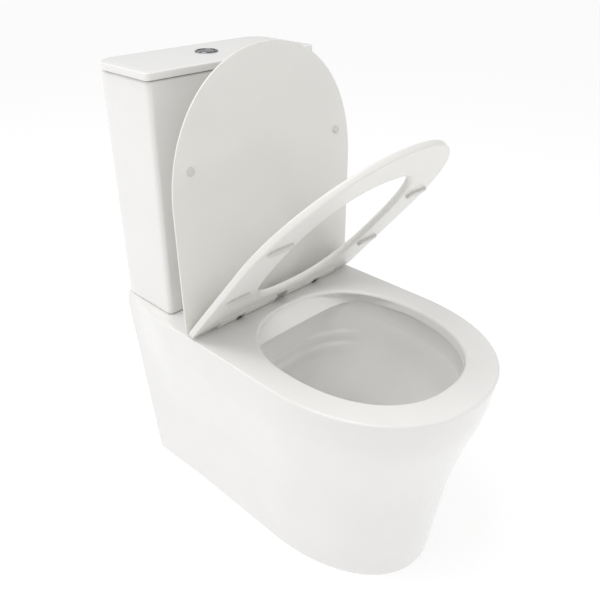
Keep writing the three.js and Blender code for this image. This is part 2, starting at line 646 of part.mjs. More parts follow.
function makeHingeBase(name, side) {
  const x = side * HINGE.postX;
  const z0 = DECK.z + GAP;
  const disc = bar(side * 82, SEAT_FIXING.y, 18.5, z0, z0 + 3.4, 28);
  const arm = box(x - 6, x + 6, HINGE.y - 5, SEAT_FIXING.y, z0, z0 + HINGE.armHeight);
  const screwHole = bar(side * SEAT_FIXING.x, SEAT_FIXING.y, 4.2, z0 - 2, z0 + 6);
  return piece(name, CHROME, cut(join(disc, arm), screwHole));
}

// The post stands on the arm's end and carries the damper's barrel.
function makeHingePost(name, side) {
  const foot = DECK.z + GAP + HINGE.armHeight + GAP;
  return piece(name, CHROME, bar(side * HINGE.postX, HINGE.y, 4.2, foot, HINGE.z - HINGE.pinRadius - 0.6));
}

function makeDamper(name, side) {
  const [x0, x1] = side < 0 ? [-103, -53] : [53, 103];
  const barrel = crossBar(HINGE.y, HINGE.z, HINGE.barrelRadius, x0, x1, 20);
  const bore = crossBar(HINGE.y, HINGE.z, HINGE.pinRadius + 0.3, x0 - 1, x1 + 1);
  const socket = bar(side * HINGE.postX, HINGE.y, 4.5, HINGE.z - 10, HINGE.z);
  return piece(name, WHITE_PLASTIC, cut(barrel, bore, socket));
}

function makeHingePin(name, side) {
  const [x0, x1] = side < 0 ? [-118, -30] : [30, 118];
  return piece(name, STEEL, crossBar(HINGE.y, HINGE.z, HINGE.pinRadius, x0, x1));
}

function makeSeatScrew(name, x) {
  const top = DECK.z + GAP + 3.4 + GAP;
  const screw = join(bar(x, SEAT_FIXING.y, 3.6, 356, top + 1), bar(x, SEAT_FIXING.y, 6.5, top, top + 3, 20));
  return piece(name, STEEL, screw);
}

function makeScrewCap(name, x) {
  const z = DECK.z + GAP + 3.4 + GAP;
  const cap = turned(x, SEAT_FIXING.y, [
    [9, z], [9, z + 3.6], [7.5, z + 5], [0, z + 5], [0, z + 3.6], [7.2, z + 3.6], [7.2, z],
  ]);
  return piece(name, CHROME, cap);
}

function makeSleeve(name, x) {
  const sleeve = turned(x, SEAT_FIXING.y, [
    [6.5, 366], [9.5, 370], [9.5, 380], [6.7, DECK.z - DECK_THICKNESS - GAP], [6.7, DECK.z - 1],
    [3.9, DECK.z - 1], [3.9, 366],
  ], 16);
  return piece(name, BLACK_RUBBER, sleeve);
}

// ---------------------------------------------------------------- assembly

function makeSeatLeaf() {
  const seat = new THREE.Group();
  seat.add(makeSeatRing(), makeReleaseButton());
  let number = 1;
  for (const u of [112, 262]) {
    for (const x of [-152, 152]) {
      seat.add(makeSeatBuffer(`seat_buffer_${number}`, x, u));
      number += 1;
    }
  }
  seat.position.set(0, HINGE.y, HINGE.z);
  seat.rotation.x = -THREE.MathUtils.degToRad(SEAT_OPEN_DEG);
  return seat;
}

function makeCoverLeaf() {
  const cover = new THREE.Group();
  cover.add(
    makeSeatCover(),
    makeCoverBuffer("cover_buffer_left", -157),
    makeCoverBuffer("cover_buffer_right", 157),
  );
  cover.position.set(0, HINGE.y, HINGE.z);
  cover.rotation.x = -THREE.MathUtils.degToRad(COVER_OPEN_DEG);
  return cover;
}

function makeSeatFixings() {
  const group = new THREE.Group();
  for (const [word, side] of [["left", -1], ["right", 1]]) {
    const x = side * SEAT_FIXING.x;
    group.add(
      makeHingeBase(`hinge_base_${word}`, side),
      makeHingePost(`hinge_post_${word}`, side),
      makeDamper(`hinge_damper_${word}`, side),
      makeHingePin(`hinge_pin_${word}`, side),
      makeSeatScrew(`seat_screw_${word}`, x),
      makeScrewCap(`screw_cap_${word}`, x),
      makeSleeve(`seat_sleeve_${word}`, x),
      piece(`seat_nut_${word}`, STEEL, nut(x, SEAT_FIXING.y, 3.9, 7.5, 359, 365.7, 6)),
    );
  }
  return group;
}

function makeCouplings() {
  const group = new THREE.Group();
  const sealZ = TANK_FLOOR_Z + GAP;
  for (const [word, side] of [["left", -1], ["right", 1]]) {
    const x = side * COUPLING_X;
    group.add(
      makeCouplingBolt(`coupling_bolt_${word}`, x),
      piece(`bolt_seal_${word}`, BLACK_RUBBER, tube(x, FLUSH_Y, 4.3, 12, sealZ, sealZ + 3.6, 16)),
      piece(`bolt_washer_${word}`, STEEL, tube(x, FLUSH_Y, 4.3, 11, 382, DECK.z - DECK_THICKNESS - GAP, 16)),
      makeWingNut(`wing_nut_${word}`, x),
    );
  }
  group.add(piece("coupling_gasket", BLACK_RUBBER, turned(0, FLUSH_Y, [
    [44, WELL.floorZ + GAP], [47.4, 380], [47.4, 388], [44, 392.5], [30.4, 392.5], [30.4, WELL.floorZ + GAP],
  ])));
  return group;
}

function makeFlushValve() {
  const group = new THREE.Group();
  const [sealZ, sealTopZ] = [VALVE.seatZ + GAP, VALVE.seatZ + 4 - GAP];
  group.add(
    makeValveBase(),
    piece("flush_valve_washer", BLACK_RUBBER, tube(0, FLUSH_Y, 30.4, 42, VALVE.washerZ, VALVE.flangeZ - GAP)),
    piece("flush_valve_nut", WHITE_PLASTIC, nut(0, FLUSH_Y, 30.4, 43, 393, TANK.z0 - GAP, 12)),
    makeValveTower(),
    makeOverflowTube(),
    piece("flush_valve_seal", BLACK_RUBBER, tube(0, FLUSH_Y, 13.9, 31, sealZ, sealTopZ)),
    makeLever("full_flush_lever", 1, BUTTON.fullX),
    makeLever("half_flush_lever", -1, BUTTON.halfX),
  );
  return group;
}

function makeFillValve() {
  const group = new THREE.Group();
  const washerZ = TANK_FLOOR_Z + GAP;
  group.add(
    makeFillBody(),
    makeFillCap(),
    makeFillLever(),
    makeFloat(),
    makeFloatLink(),
    piece("fill_valve_washer", BLACK_RUBBER, tube(FILL_X, FLUSH_Y, 10.4, 17, washerZ, washerZ + 2.8, 20)),
    piece("fill_valve_nut", WHITE_PLASTIC, nut(FILL_X, FLUSH_Y, 10.4, 17, 394, TANK.z0 - GAP, 6)),
  );
  return group;
}

function makeLidAndButtons() {
  const group = new THREE.Group();
  group.add(
    makeLid(),
    makeButtonHousing(),
    piece("button_nut", WHITE_PLASTIC, nut(0, FLUSH_Y, 16.9, 25, 779, LID.footZ - GAP, 12)),
    makeButton("full_flush_button", BUTTON.splitX + GAP, 20),
    makeButton("half_flush_button", -20, BUTTON.splitX - GAP),
    makeRod("full_flush_rod", BUTTON.fullX),
    makeRod("half_flush_rod", BUTTON.halfX),
    makeButtonSpring("full_button_spring", BUTTON.fullX),
    makeButtonSpring("half_button_spring", BUTTON.halfX),
  );
  return group;
}

const toilet = new THREE.Group();
toilet.add(
  makePan(),
  makeCistern(),
  makeCouplings(),
  makeFlushValve(),
  makeFillValve(),
  makeLidAndButtons(),
  makeSeatFixings(),
  makeSeatLeaf(),
  makeCoverLeaf(),
);

export default toilet;
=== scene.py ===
# %% [markdown]
# # A close coupled toilet, worked out as surfaces
#
# A close coupled toilet is two castings of vitreous china, a pan and a cistern, bolted one on top
# of the other, with a moulded seat and cover on hinges. Its solids and joints are already fixed in
# a CAD frame. This lesson puts the looks around that frame: each visible piece is a surface that
# numpy works out from a short formula, and each finish is a node material built from what the real
# surface is.

# %% Load the fixed frame
import json
import math

import bmesh
import bpy
import numpy as np
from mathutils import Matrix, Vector


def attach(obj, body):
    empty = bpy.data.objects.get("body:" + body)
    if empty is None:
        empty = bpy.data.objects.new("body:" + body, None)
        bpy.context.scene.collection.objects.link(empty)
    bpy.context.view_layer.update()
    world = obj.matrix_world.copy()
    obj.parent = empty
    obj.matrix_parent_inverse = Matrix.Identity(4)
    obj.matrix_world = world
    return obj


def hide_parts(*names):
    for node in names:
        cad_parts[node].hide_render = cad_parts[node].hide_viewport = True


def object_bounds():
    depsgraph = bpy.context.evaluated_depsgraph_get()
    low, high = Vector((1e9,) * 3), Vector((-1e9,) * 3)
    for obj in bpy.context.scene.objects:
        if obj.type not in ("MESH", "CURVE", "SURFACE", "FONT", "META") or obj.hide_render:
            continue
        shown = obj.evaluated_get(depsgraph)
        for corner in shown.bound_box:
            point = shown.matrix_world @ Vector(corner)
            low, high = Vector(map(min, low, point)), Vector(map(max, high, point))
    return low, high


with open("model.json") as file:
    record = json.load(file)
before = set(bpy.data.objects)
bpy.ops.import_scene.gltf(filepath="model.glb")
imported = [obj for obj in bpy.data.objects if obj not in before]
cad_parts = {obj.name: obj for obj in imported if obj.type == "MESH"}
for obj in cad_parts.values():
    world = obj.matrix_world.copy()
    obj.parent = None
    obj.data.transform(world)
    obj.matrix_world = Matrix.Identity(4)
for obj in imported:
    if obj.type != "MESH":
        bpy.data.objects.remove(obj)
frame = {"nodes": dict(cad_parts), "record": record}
CAD_BOX = [list(corner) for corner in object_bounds()]

# %% [markdown]
# ## Light, floor and camera
#
# White china shows its form only through soft gradients, so the studio is an even room with one large
# soft box overhead and a weaker one to the left. The front gets only a low, narrow strip: it lights
# little, but the glaze reflects it as thin bright lines inside the bowl. A narrow box behind the
# cistern on the left draws the same kind of line along the deck's and the lid's left edges.
# The camera stands to the front left, a little above the cistern's lid, and looks down at the bowl.

# %% Camera
CAMERA_AT = Vector((-0.7081, -0.6660, 0.9952))
CAMERA_LOOKS = Vector((0.61188, 0.60153, -0.51359))

camera_data = bpy.data.cameras.new("camera")
camera_data.lens = 39.94
camera_data.sensor_width = 36
camera_data.shift_x = -0.0072
camera_data.shift_y = 0.0203
camera = bpy.data.objects.new("camera", camera_data)
bpy.context.scene.collection.objects.link(camera)
camera.location = CAMERA_AT
camera.rotation_euler = CAMERA_LOOKS.to_track_quat("-Z", "Y").to_euler()
bpy.context.scene.camera = camera
print("camera at", tuple(round(v, 3) for v in CAMERA_AT))

# %% Colours and lights


def linear(code):
    """A hex colour in sRGB as linear red, green, blue and 1: ((c + 0.055) / 1.055) to the power 2.4."""
    channels = np.array([int(code[i:i + 2], 16) for i in (1, 3, 5)]) / 255
    values = np.where(channels <= 0.04045, channels / 12.92, ((channels + 0.055) / 1.055) ** 2.4)
    return (*values.tolist(), 1.0)


def area_light(name, at, towards, size, depth, watts):
    """A rectangular soft box at a place, facing a point."""
    data = bpy.data.lights.new(name, "AREA")
    data.shape = "RECTANGLE"
    data.size = size
    data.size_y = depth
    data.energy = watts
    light = bpy.data.objects.new(name, data)
    bpy.context.scene.collection.objects.link(light)
    light.location = at
    light.rotation_euler = (Vector(towards) - Vector(at)).to_track_quat("-Z", "Y").to_euler()
    return light


ROOM_STRENGTH = 0.65
world = bpy.data.worlds.new("white room")
bpy.context.scene.world = world
world.use_nodes = True
world.node_tree.nodes["Background"].inputs["Color"].default_value = (1, 1, 1, 1)
world.node_tree.nodes["Background"].inputs["Strength"].default_value = ROOM_STRENGTH
bpy.context.scene.view_settings.view_transform = "Standard"

area_light("left softbox", (-2.6, 0.2, 1.2), (0, 0, 0.3), 1.8, 1.8, 0.7)
area_light("top softbox", (-0.7, 0.2, 2.9), (0, 0, 0.4), 1.6, 1.6, 25.5)
area_light("rear softbox", (-1.5, 1.7, 2.2), (0, 0, 0.4), 1.2, 0.5, 9)
area_light("front strip", (0.8, -1.9, 1.07), (0, 0, 0.3), 1.8, 0.12, 2.6)
print("four soft boxes in a room of strength", ROOM_STRENGTH)

# %% [markdown]
# ## From points to meshes
#
# Each shape is an array of points: rows of closed loops, all with the same number of columns. Two
# neighbouring rows make a band of quads, so the whole mesh is written at once, with no loop over
# its vertices. What differs is only how the first and the last row are finished: a fan to a pole
# for a solid slab, or a last band back to the first row for a ring.

# %% Surface helpers
MM = 0.001
SMOOTH_ANGLE = math.radians(32)


def bands(rows, columns, ring=False):
    """Quads between neighbouring rows whose columns wrap round; ring also joins the last row to the first."""
    row = np.arange(rows if ring else rows - 1)[:, None]
    column = np.arange(columns)[None, :]
    after = (column + 1) % columns
    above = (row + 1) % rows
    corners = (row * columns + column, row * columns + after, above * columns + after, above * columns + column)
    return np.stack([np.broadcast_to(c, (len(row), columns)) for c in corners], -1).reshape(-1, 4)


def ring_body(loops):
    """A ring: every loop joined to the next, and the last to the first."""
    loops = np.asarray(loops, float)
    return loops.reshape(-1, 3), bands(len(loops), loops.shape[1], ring=True).tolist()


def slab_body(loops):
    """A solid with two poles: the first and the last loop are closed by fans to their centres."""
    loops = np.asarray(loops, float)
    rows, columns = loops.shape[:2]
    points = np.concatenate([loops.reshape(-1, 3), loops[0].mean(0)[None], loops[-1].mean(0)[None]])
    column = np.arange(columns)
    after = (column + 1) % columns
    last = (rows - 1) * columns
    first_fan = np.stack([after, column, np.full(columns, rows * columns)], -1)
    last_fan = np.stack([last + column, last + after, np.full(columns, rows * columns + 1)], -1)
    return points, bands(rows, columns).tolist() + first_fan.tolist() + last_fan.tolist()


def volume_of(points, faces):
    """The signed volume inside the faces: the sum of the tetrahedra from the origin to each triangle."""
    corners = np.array([(f[0], f[i], f[i + 1]) for f in faces for i in range(1, len(f) - 1)])
    a, b, c = points[corners[:, 0]], points[corners[:, 1]], points[corners[:, 2]]
    return float(np.einsum("ij,ij->i", a, np.cross(b, c)).sum() / 6)


def turned_up(points, degrees):
    """A seat part drawn closed, with its hinge axis as origin, raised by an angle and put in its place."""
    angle = math.radians(degrees)
    x, y, z = points[..., 0], points[..., 1], points[..., 2]
    raised = np.stack([x, y * math.cos(angle) + z * math.sin(angle), z * math.cos(angle) - y * math.sin(angle)], -1)
    return raised + np.array([0, HINGE_Y, HINGE_Z])


def mesh_of(name, bodies, raised=None):
    """A mesh of one or more closed bodies, in metres, with every face outwards."""
    all_points, all_faces, base = [], [], 0
    for points, faces in bodies:
        if raised is not None:
            points = turned_up(points, raised)
        if volume_of(points, faces) < 0:
            faces = [face[::-1] for face in faces]
        all_points.append(points)
        all_faces += [[index + base for index in face] for face in faces]
        base += len(points)
    mesh = bpy.data.meshes.new(name)
    mesh.from_pydata((np.concatenate(all_points) * MM).tolist(), [], all_faces)
    clean = bmesh.new()
    clean.from_mesh(mesh)
    bmesh.ops.remove_doubles(clean, verts=clean.verts, dist=2e-6)
    bmesh.ops.dissolve_degenerate(clean, dist=1e-7, edges=clean.edges)
    clean.to_mesh(mesh)
    clean.free()
    return mesh


def make_piece(name, bodies, body, material_slot, nodes=(), raised=None):
    """A piece with one finish, which rides on a body of the frame."""
    mesh = mesh_of(name, bodies, raised)
    mesh.shade_smooth()
    mesh.set_sharp_from_angle(angle=SMOOTH_ANGLE)
    mesh.materials.append(FINISHES[material_slot])
    piece = bpy.data.objects.new(name, mesh)
    bpy.context.scene.collection.objects.link(piece)
    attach(piece, body)
    if nodes:
        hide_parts(*nodes)
    print(f"{name}: {len(mesh.polygons)} faces on {body}")
    return piece


# %% Outlines
def smooth_step(t):
    """0 below 0, 1 above 1, and 3t^2 - 2t^3 between."""
    t = np.clip(t, 0, 1)
    return t * t * (3 - 2 * t)


def through(knots, values, at):
    """A cubic through the knots, whose slope at each knot is that of its two neighbours."""
    knots, values = np.asarray(knots, float), np.asarray(values, float)
    slopes = np.gradient(values, knots, axis=0)
    at = np.asarray(at, float)
    k = np.clip(np.searchsorted(knots, at) - 1, 0, len(knots) - 2)
    width = (knots[k + 1] - knots[k])
    t = (at - knots[k]) / width
    if values.ndim > 1:
        t, width = t[..., None], width[..., None]
    low, high = values[k], values[k + 1]
    bend_low, bend_high = slopes[k] * width, slopes[k + 1] * width
    return (low * (1 + 2 * t) * (1 - t) ** 2 + bend_low * t * (1 - t) ** 2
            + high * t * t * (3 - 2 * t) + bend_high * t * t * (t - 1))


def with_mirror(half):
    """A closed loop from its right half, which runs from the nose to the back centre, along the second axis."""
    left = half[..., -2:0:-1, :] * np.array([-1] + [1] * (half.shape[-1] - 1))
    return np.concatenate([half, left], axis=-2)


def inset(loop, distance):
    """The loop moved inwards: each point slides along the bisector of its two edges' normals."""
    before, after = np.roll(loop, 1, axis=0), np.roll(loop, -1, axis=0)
    edge_in, edge_out = loop - before, after - loop
    edge_in = edge_in / np.linalg.norm(edge_in, axis=1, keepdims=True)
    edge_out = edge_out / np.linalg.norm(edge_out, axis=1, keepdims=True)
    normal_in = np.stack([-edge_in[:, 1], edge_in[:, 0]], -1)
    normal_out = np.stack([-edge_out[:, 1], edge_out[:, 0]], -1)
    both = normal_in + normal_out
    both = both / np.maximum(1 + (normal_in * normal_out).sum(1, keepdims=True), 0.2)
    return loop + both * distance


def at_height(loop, z):
    """A flat loop lifted to a height."""
    return np.column_stack([loop, np.full(len(loop), float(z))])


def rounded_edge(loop, radius, z, up, steps=5):
    """Loops round a quarter-circle edge: the side meets z + up * radius, the face lies at z, inset by radius."""
    angles = np.linspace(0, math.pi / 2, steps)
    return [at_height(inset(loop, radius * (1 - math.cos(a))), z + up * radius * (1 - math.sin(a))) for a in angles]


def slab(loop, z0, z1, low_radius, high_radius, steps=5, levels=2):
    """A solid slab on a loop, with a rounded lower and upper edge."""
    low = rounded_edge(loop, low_radius, z0, 1, steps)[::-1]
    high = rounded_edge(loop, high_radius, z1, -1, steps)
    between = [at_height(loop, z) for z in np.linspace(z0 + low_radius, z1 - high_radius, levels + 2)[1:-1]]
    return slab_body(low + between + high)


def circle(x, y, radius, count=48):
    """A round loop."""
    angle = np.linspace(0, 2 * math.pi, count, endpoint=False) - math.pi / 2
    return np.column_stack([x + radius * np.cos(angle), y + radius * np.sin(angle)])


def lathe(x, y, profile, count=48):
    """A body of revolution about the vertical through (x, y), from a closed profile of (radius, z) pairs."""
    profile = np.asarray(profile, float)
    angle = np.linspace(0, 2 * math.pi, count, endpoint=False)[None, :]
    radius, height = profile[:, 0][:, None], profile[:, 1][:, None]
    loops = np.stack([x + radius * np.cos(angle), y + radius * np.sin(angle),
                      np.broadcast_to(height, (len(profile), count))], -1)
    return slab_body(loops) if profile[0, 0] < 1e-6 or profile[-1, 0] < 1e-6 else ring_body(loops)


def lathe_along_x(y, z, profile, count=40):
    """A body of revolution about the line along x through (y, z), from a profile of (radius, x) pairs."""
    points, faces = lathe(0, 0, profile, count)
    return np.column_stack([points[:, 2], points[:, 0] + y, points[:, 1] + z]), faces


def rounded_bar(radius, low, high, edge):
    """A lathe profile of a bar from low to high with an edge radius at both ends."""
    turn = np.linspace(0, math.pi / 2, 5)
    corner = [(radius - edge + edge * math.sin(a), edge - edge * math.cos(a)) for a in turn]
    return [(0, low)] + [(r, low + d) for r, d in corner] + [(r, high - d) for r, d in corner[::-1]] + [(0, high)]


# %% [markdown]
# ## Finishes
#
# A finish is named for its material and for how the surface was made. China gets its depth from a
# clear glaze over a white body: the body scatters light, the glaze adds a sharp reflection. The
# seat is moulded urea resin, a little warmer and softer in its shine. Each one has a fine relief
# at its real scale, because a perfectly even surface looks like plaster.

# %% Node helper


def add_node(tree, kind, settings=None, **links):
    """One shader node: settings are its properties and socket values by name, links are the sockets that feed it."""
    node = tree.nodes.new(kind)
    for key, value in (settings or {}).items():
        if hasattr(node, key):
            setattr(node, key, value)
        else:
            node.inputs[key].default_value = value
    for key, source in links.items():
        tree.links.new(source, node.inputs[key.replace("_", " ")])
    return node


def new_finish(name, hex_colour, **shader):
    """A material with one Principled shader: its flat values sit on the shader's own sockets."""
    material = bpy.data.materials.new(name)
    material.use_nodes = True
    tree = material.node_tree
    principled = tree.nodes["Principled BSDF"]
    principled.inputs["Base Color"].default_value = linear(hex_colour)
    for key, value in shader.items():
        principled.inputs[key.replace("_", " ")].default_value = value
    return material, tree, principled


def relief(tree, principled, grain_mm, height_mm, detail=2.0, stretch=(1, 1, 1), strength=1.0):
    """A noise relief: grain_mm is the width of one bump, height_mm how high it stands."""
    place = add_node(tree, "ShaderNodeTexCoord")
    scaled = add_node(tree, "ShaderNodeMapping", {"Scale": stretch}, Vector=place.outputs["Object"])
    noise = add_node(tree, "ShaderNodeTexNoise", {"Scale": 1 / (grain_mm * MM), "Detail": detail},
                     Vector=scaled.outputs["Vector"])
    bump = add_node(tree, "ShaderNodeBump", {"Strength": strength, "Distance": height_mm * MM},
                    Height=noise.outputs["Fac"])
    tree.links.new(bump.outputs["Normal"], principled.inputs["Normal"])
    return noise


def mottle(tree, principled, hex_low, hex_high, patch_mm, detail=3.0):
    """A slow drift of the base colour between two near shades, in patches of patch_mm."""
    place = add_node(tree, "ShaderNodeTexCoord")
    noise = add_node(tree, "ShaderNodeTexNoise", {"Scale": 1 / (patch_mm * MM), "Detail": detail},
                     Vector=place.outputs["Object"])
    ramp = add_node(tree, "ShaderNodeValToRGB", None, Fac=noise.outputs["Fac"])
    ramp.color_ramp.elements[0].position = 0.35
    ramp.color_ramp.elements[0].color = linear(hex_low)
    ramp.color_ramp.elements[1].position = 0.65
    ramp.color_ramp.elements[1].color = linear(hex_high)
    tree.links.new(ramp.outputs["Color"], principled.inputs["Base Color"])


def roughness_drift(tree, principled, low, high, patch_mm):
    """A slow drift of the roughness between two values, in patches of patch_mm."""
    place = add_node(tree, "ShaderNodeTexCoord")
    noise = add_node(tree, "ShaderNodeTexNoise", {"Scale": 1 / (patch_mm * MM), "Detail": 3.0},
                     Vector=place.outputs["Object"])
    spread = add_node(tree, "ShaderNodeMapRange", {"To Min": low, "To Max": high}, Value=noise.outputs["Fac"])
    tree.links.new(spread.outputs["Result"], principled.inputs["Roughness"])


# %% The finishes
FINISHES = {}


def glazed_china():
    """Vitreous china under a clear fired glaze: a white body with a hard gloss and a faint orange peel."""
    material, tree, principled = new_finish("vitreous china, glazed", "#EEEDEB", IOR=1.5, Coat_Weight=0.5,
                                            Coat_Roughness=0.03, Coat_IOR=1.5)
    mottle(tree, principled, "#EDECEA", "#EFEEEC", 90)
    roughness_drift(tree, principled, 0.12, 0.17, 60)
    relief(tree, principled, 16, 0.012, detail=1.0)
    return material


def moulded_resin():
    """Urea resin, compression moulded and buffed: glossy, slightly warm, with a very fine skin."""
    material, tree, principled = new_finish("urea resin, moulded", "#E9E8E4", IOR=1.54, Specular_IOR_Level=0.45)
    mottle(tree, principled, "#E8E7E3", "#EAE9E5", 80)
    roughness_drift(tree, principled, 0.27, 0.31, 60)
    relief(tree, principled, 9.0, 0.003, detail=1.0)
    return material


def moulded_plastic(name, low, high, rough=0.42):
    """An injection-moulded fitting: satin from the tool's spark-eroded face, grain about 0.8 mm."""
    material, tree, principled = new_finish(name, high, IOR=1.46)
    mottle(tree, principled, low, high, 25)
    roughness_drift(tree, principled, rough - 0.06, rough + 0.06, 12)
    relief(tree, principled, 0.8, 0.01, detail=3.0)
    return material


def rubber(name, low, high, rough):
    """Moulded rubber or elastomer: dull, with a fine talc-like grain."""
    material, tree, principled = new_finish(name, high, IOR=1.5)
    mottle(tree, principled, low, high, 8)
    roughness_drift(tree, principled, rough - 0.08, rough + 0.05, 6)
    relief(tree, principled, 0.6, 0.02, detail=3.0)
    return material


def plated_metal(name, low, high, smooth, rough, grain_mm, stretch):
    """Metal whose polishing or drawing marks run one way: the relief is stretched along them."""
    material, tree, principled = new_finish(name, high, Metallic=1.0)
    mottle(tree, principled, low, high, 9)
    roughness_drift(tree, principled, smooth, rough, 5)
    relief(tree, principled, grain_mm, 0.004, detail=3.0, stretch=stretch)
    return material


FINISHES["china"] = glazed_china()
FINISHES["seat_plastic"] = moulded_resin()
FINISHES["white_plastic"] = moulded_plastic("polypropylene, moulded white", "#DEDEDA", "#E8E8E4")
FINISHES["blue_plastic"] = moulded_plastic("acetal, moulded blue", "#2F6496", "#3D76AB")
FINISHES["grey_plastic"] = moulded_plastic("acetal, moulded grey", "#A8A8A4", "#B6B6B2")
FINISHES["pale_rubber"] = rubber("elastomer, moulded translucent", "#D2D1CC", "#D9D8D4", 0.35)
FINISHES["black_rubber"] = rubber("nitrile rubber, moulded", "#141414", "#1E1E1E", 0.7)
FINISHES["chrome"] = plated_metal("chromium plate on ABS, polished", "#77797B", "#86888A", 0.12, 0.22, 1.2, (1, 1, 1))
FINISHES["steel"] = plated_metal("stainless steel, drawn", "#A9ABAD", "#BFC1C3", 0.25, 0.4, 0.5, (1, 1, 0.08))
FINISHES["brass"] = plated_metal("brass, machined", "#A8863F", "#C2A154", 0.25, 0.42, 0.6, (1, 1, 0.1))
print("finishes:", ", ".join(sorted(FINISHES)))

# %% Give every CAD node its finish
slot_of = {part["node"]: part["material_slot"] for part in frame["record"]["subparts"]}
for node_name, node_object in frame["nodes"].items():
    node_object.data.materials.clear()
    node_object.data.materials.append(FINISHES[slot_of[node_name]])
print(len(slot_of), "nodes finished")

# %% [markdown]
# ## The pan
#
# The pan is one slip-cast shell, about 12 mm thick: a skirt that flares from the floor to the deck,
# the deck, a band inside the rim that ends in a lip, the bowl, and the trap that climbs over a weir
# to the outlet. A box with a hole cut in it would have the wrong curves everywhere, so the shell is
# one sheet. Its columns run down the inside from the deck; its rows are loops. A second sheet, the
# wall's far side, has the same rows and columns, and a band along the open border joins the two.

# %% Measures of the pan
DECK_Z = 400.0
SEAM_Z = 403.0
WALL_Y = CAD_BOX[1][1] / MM
SHOULDER_Y = 172.5
WALL = 12.0
UNDER_DECK_Z = 384.0
NOSE_COLUMNS, SIDE_COLUMNS, SHOULDER_COLUMNS, BACK_COLUMNS = 44, 20, 18, 10
REAR_COLUMNS = SIDE_COLUMNS + SHOULDER_COLUMNS + BACK_COLUMNS

FLARE_Z = [0, 15, 60, 130, 200, 270, 340, 400]
FLARE = [0.008, 0.036, 0.112, 0.227, 0.372, 0.62, 0.89, 1.0]
FOOT = {"half": 139.1, "back_half": 144.1, "straight_y": -27.7, "nose_y": -250.8, "power": 2.1}
DECK = {"half": 192.2, "back_half": 171.9, "straight_y": -80.5, "nose_y": -322.3, "power": 2.2}


def pan_outline(z):
    """The pan's right half outline at heights z, one height per column: a superellipse quarter round the nose,
    a straight side, a shoulder that narrows to the wall by the smooth step, and a straight back."""
    flare = through(FLARE_Z, FLARE, np.clip(z, 0, DECK_Z))

    def mix(key, share=flare):
        return FOOT[key] + (DECK[key] - FOOT[key]) * share

    half, power = mix("half"), mix("power")
    straight_y, nose_y = mix("straight_y"), mix("nose_y")
    back_half = mix("back_half", np.clip(z / DECK_Z, 0, 1))
    angle = np.linspace(0, math.pi / 2, NOSE_COLUMNS + 1)[:-1]
    side = np.linspace(0, 1, SIDE_COLUMNS + 1)[:-1]
    shoulder = np.linspace(0, 1, SHOULDER_COLUMNS + 1)
    back = np.linspace(0, 1, BACK_COLUMNS + 1)[1:]
    a = np.concatenate([angle, np.full(REAR_COLUMNS + 1, math.pi / 2)])
    t_side = np.concatenate([np.zeros(NOSE_COLUMNS), side, np.ones(SHOULDER_COLUMNS + 1 + BACK_COLUMNS)])
    t_shoulder = np.concatenate([np.zeros(NOSE_COLUMNS + SIDE_COLUMNS), shoulder, np.ones(BACK_COLUMNS)])
    t_back = np.concatenate([np.zeros(NOSE_COLUMNS + SIDE_COLUMNS + SHOULDER_COLUMNS + 1), back])
    x = half * np.sin(a) ** (2 / power)
    y = straight_y - (straight_y - nose_y) * np.maximum(np.cos(a), 0) ** (2 / power)
    y = y + (SHOULDER_Y - straight_y) * t_side + (WALL_Y - SHOULDER_Y) * t_shoulder
    x = x + (back_half - half) * smooth_step(t_shoulder)
    return np.stack([x * (1 - t_back), y], -1)


HALF_COLUMNS = NOSE_COLUMNS + REAR_COLUMNS + 1
IS_BACK = np.arange(HALF_COLUMNS) > NOSE_COLUMNS + SIDE_COLUMNS + SHOULDER_COLUMNS


def pan_inset(half, distance):
    """The outline moved inwards by a distance per column; the straight back only narrows with its corner."""
    front = ~IS_BACK
    tangent = np.gradient(half[front], axis=0)
    tangent[0] = (1, 0)
    tangent /= np.linalg.norm(tangent, axis=1, keepdims=True)
    normal = np.stack([-tangent[:, 1], tangent[:, 0]], -1)
    moved = half.copy()
    distance = np.broadcast_to(distance, (HALF_COLUMNS,))
    moved[front] = half[front] + normal * distance[front][:, None]
    corner = moved[front][-1]
    moved[IS_BACK, 0] = half[IS_BACK, 0] * corner[0] / half[front][-1, 0]
    moved[front, 1] = np.minimum(moved[front, 1], WALL_Y)
    moved[0, 0] = 0
    return moved


outline_on_deck = pan_outline(np.full(HALF_COLUMNS, DECK_Z))
print("deck outline:", HALF_COLUMNS, "columns, half width", outline_on_deck[:, 0].max().round(1))

# %% [markdown]
# The deck's edge is crisp along the seat and turns into a soft shoulder where the cistern stands,
# so the edge radius is itself a function of the column. The rest of the skirt is the outline at
# rising heights, and the flare is a cubic through a few measured heights.

# %% Skirt and deck
EDGE_RADIUS = 4.0
SKIRT_ROWS, EDGE_ROWS, DECK_ROWS = 44, 8, 14
FOOT_RADIUS = 1.5

deck_y = outline_on_deck[:, 1]
CISTERN_HALF, CISTERN_CORNER = 172.0, 28.0
past_corner = np.clip(deck_y - (WALL_Y - CISTERN_CORNER), 0, CISTERN_CORNER)
cistern_edge = CISTERN_HALF - CISTERN_CORNER + np.sqrt(CISTERN_CORNER ** 2 - past_corner ** 2)
shoulder_width = np.maximum(outline_on_deck[:, 0] - cistern_edge, EDGE_RADIUS)
shoulder_share = smooth_step((deck_y - 158) / 50)
edge_radius = EDGE_RADIUS + (shoulder_width - EDGE_RADIUS) * shoulder_share
edge_radius[IS_BACK] = 0.0


def deck_height(y):
    """The deck is level under the seat and rises softly to the seam under the cistern."""
    return DECK_Z + (SEAM_Z - DECK_Z) * smooth_step((y - 150) / 34)


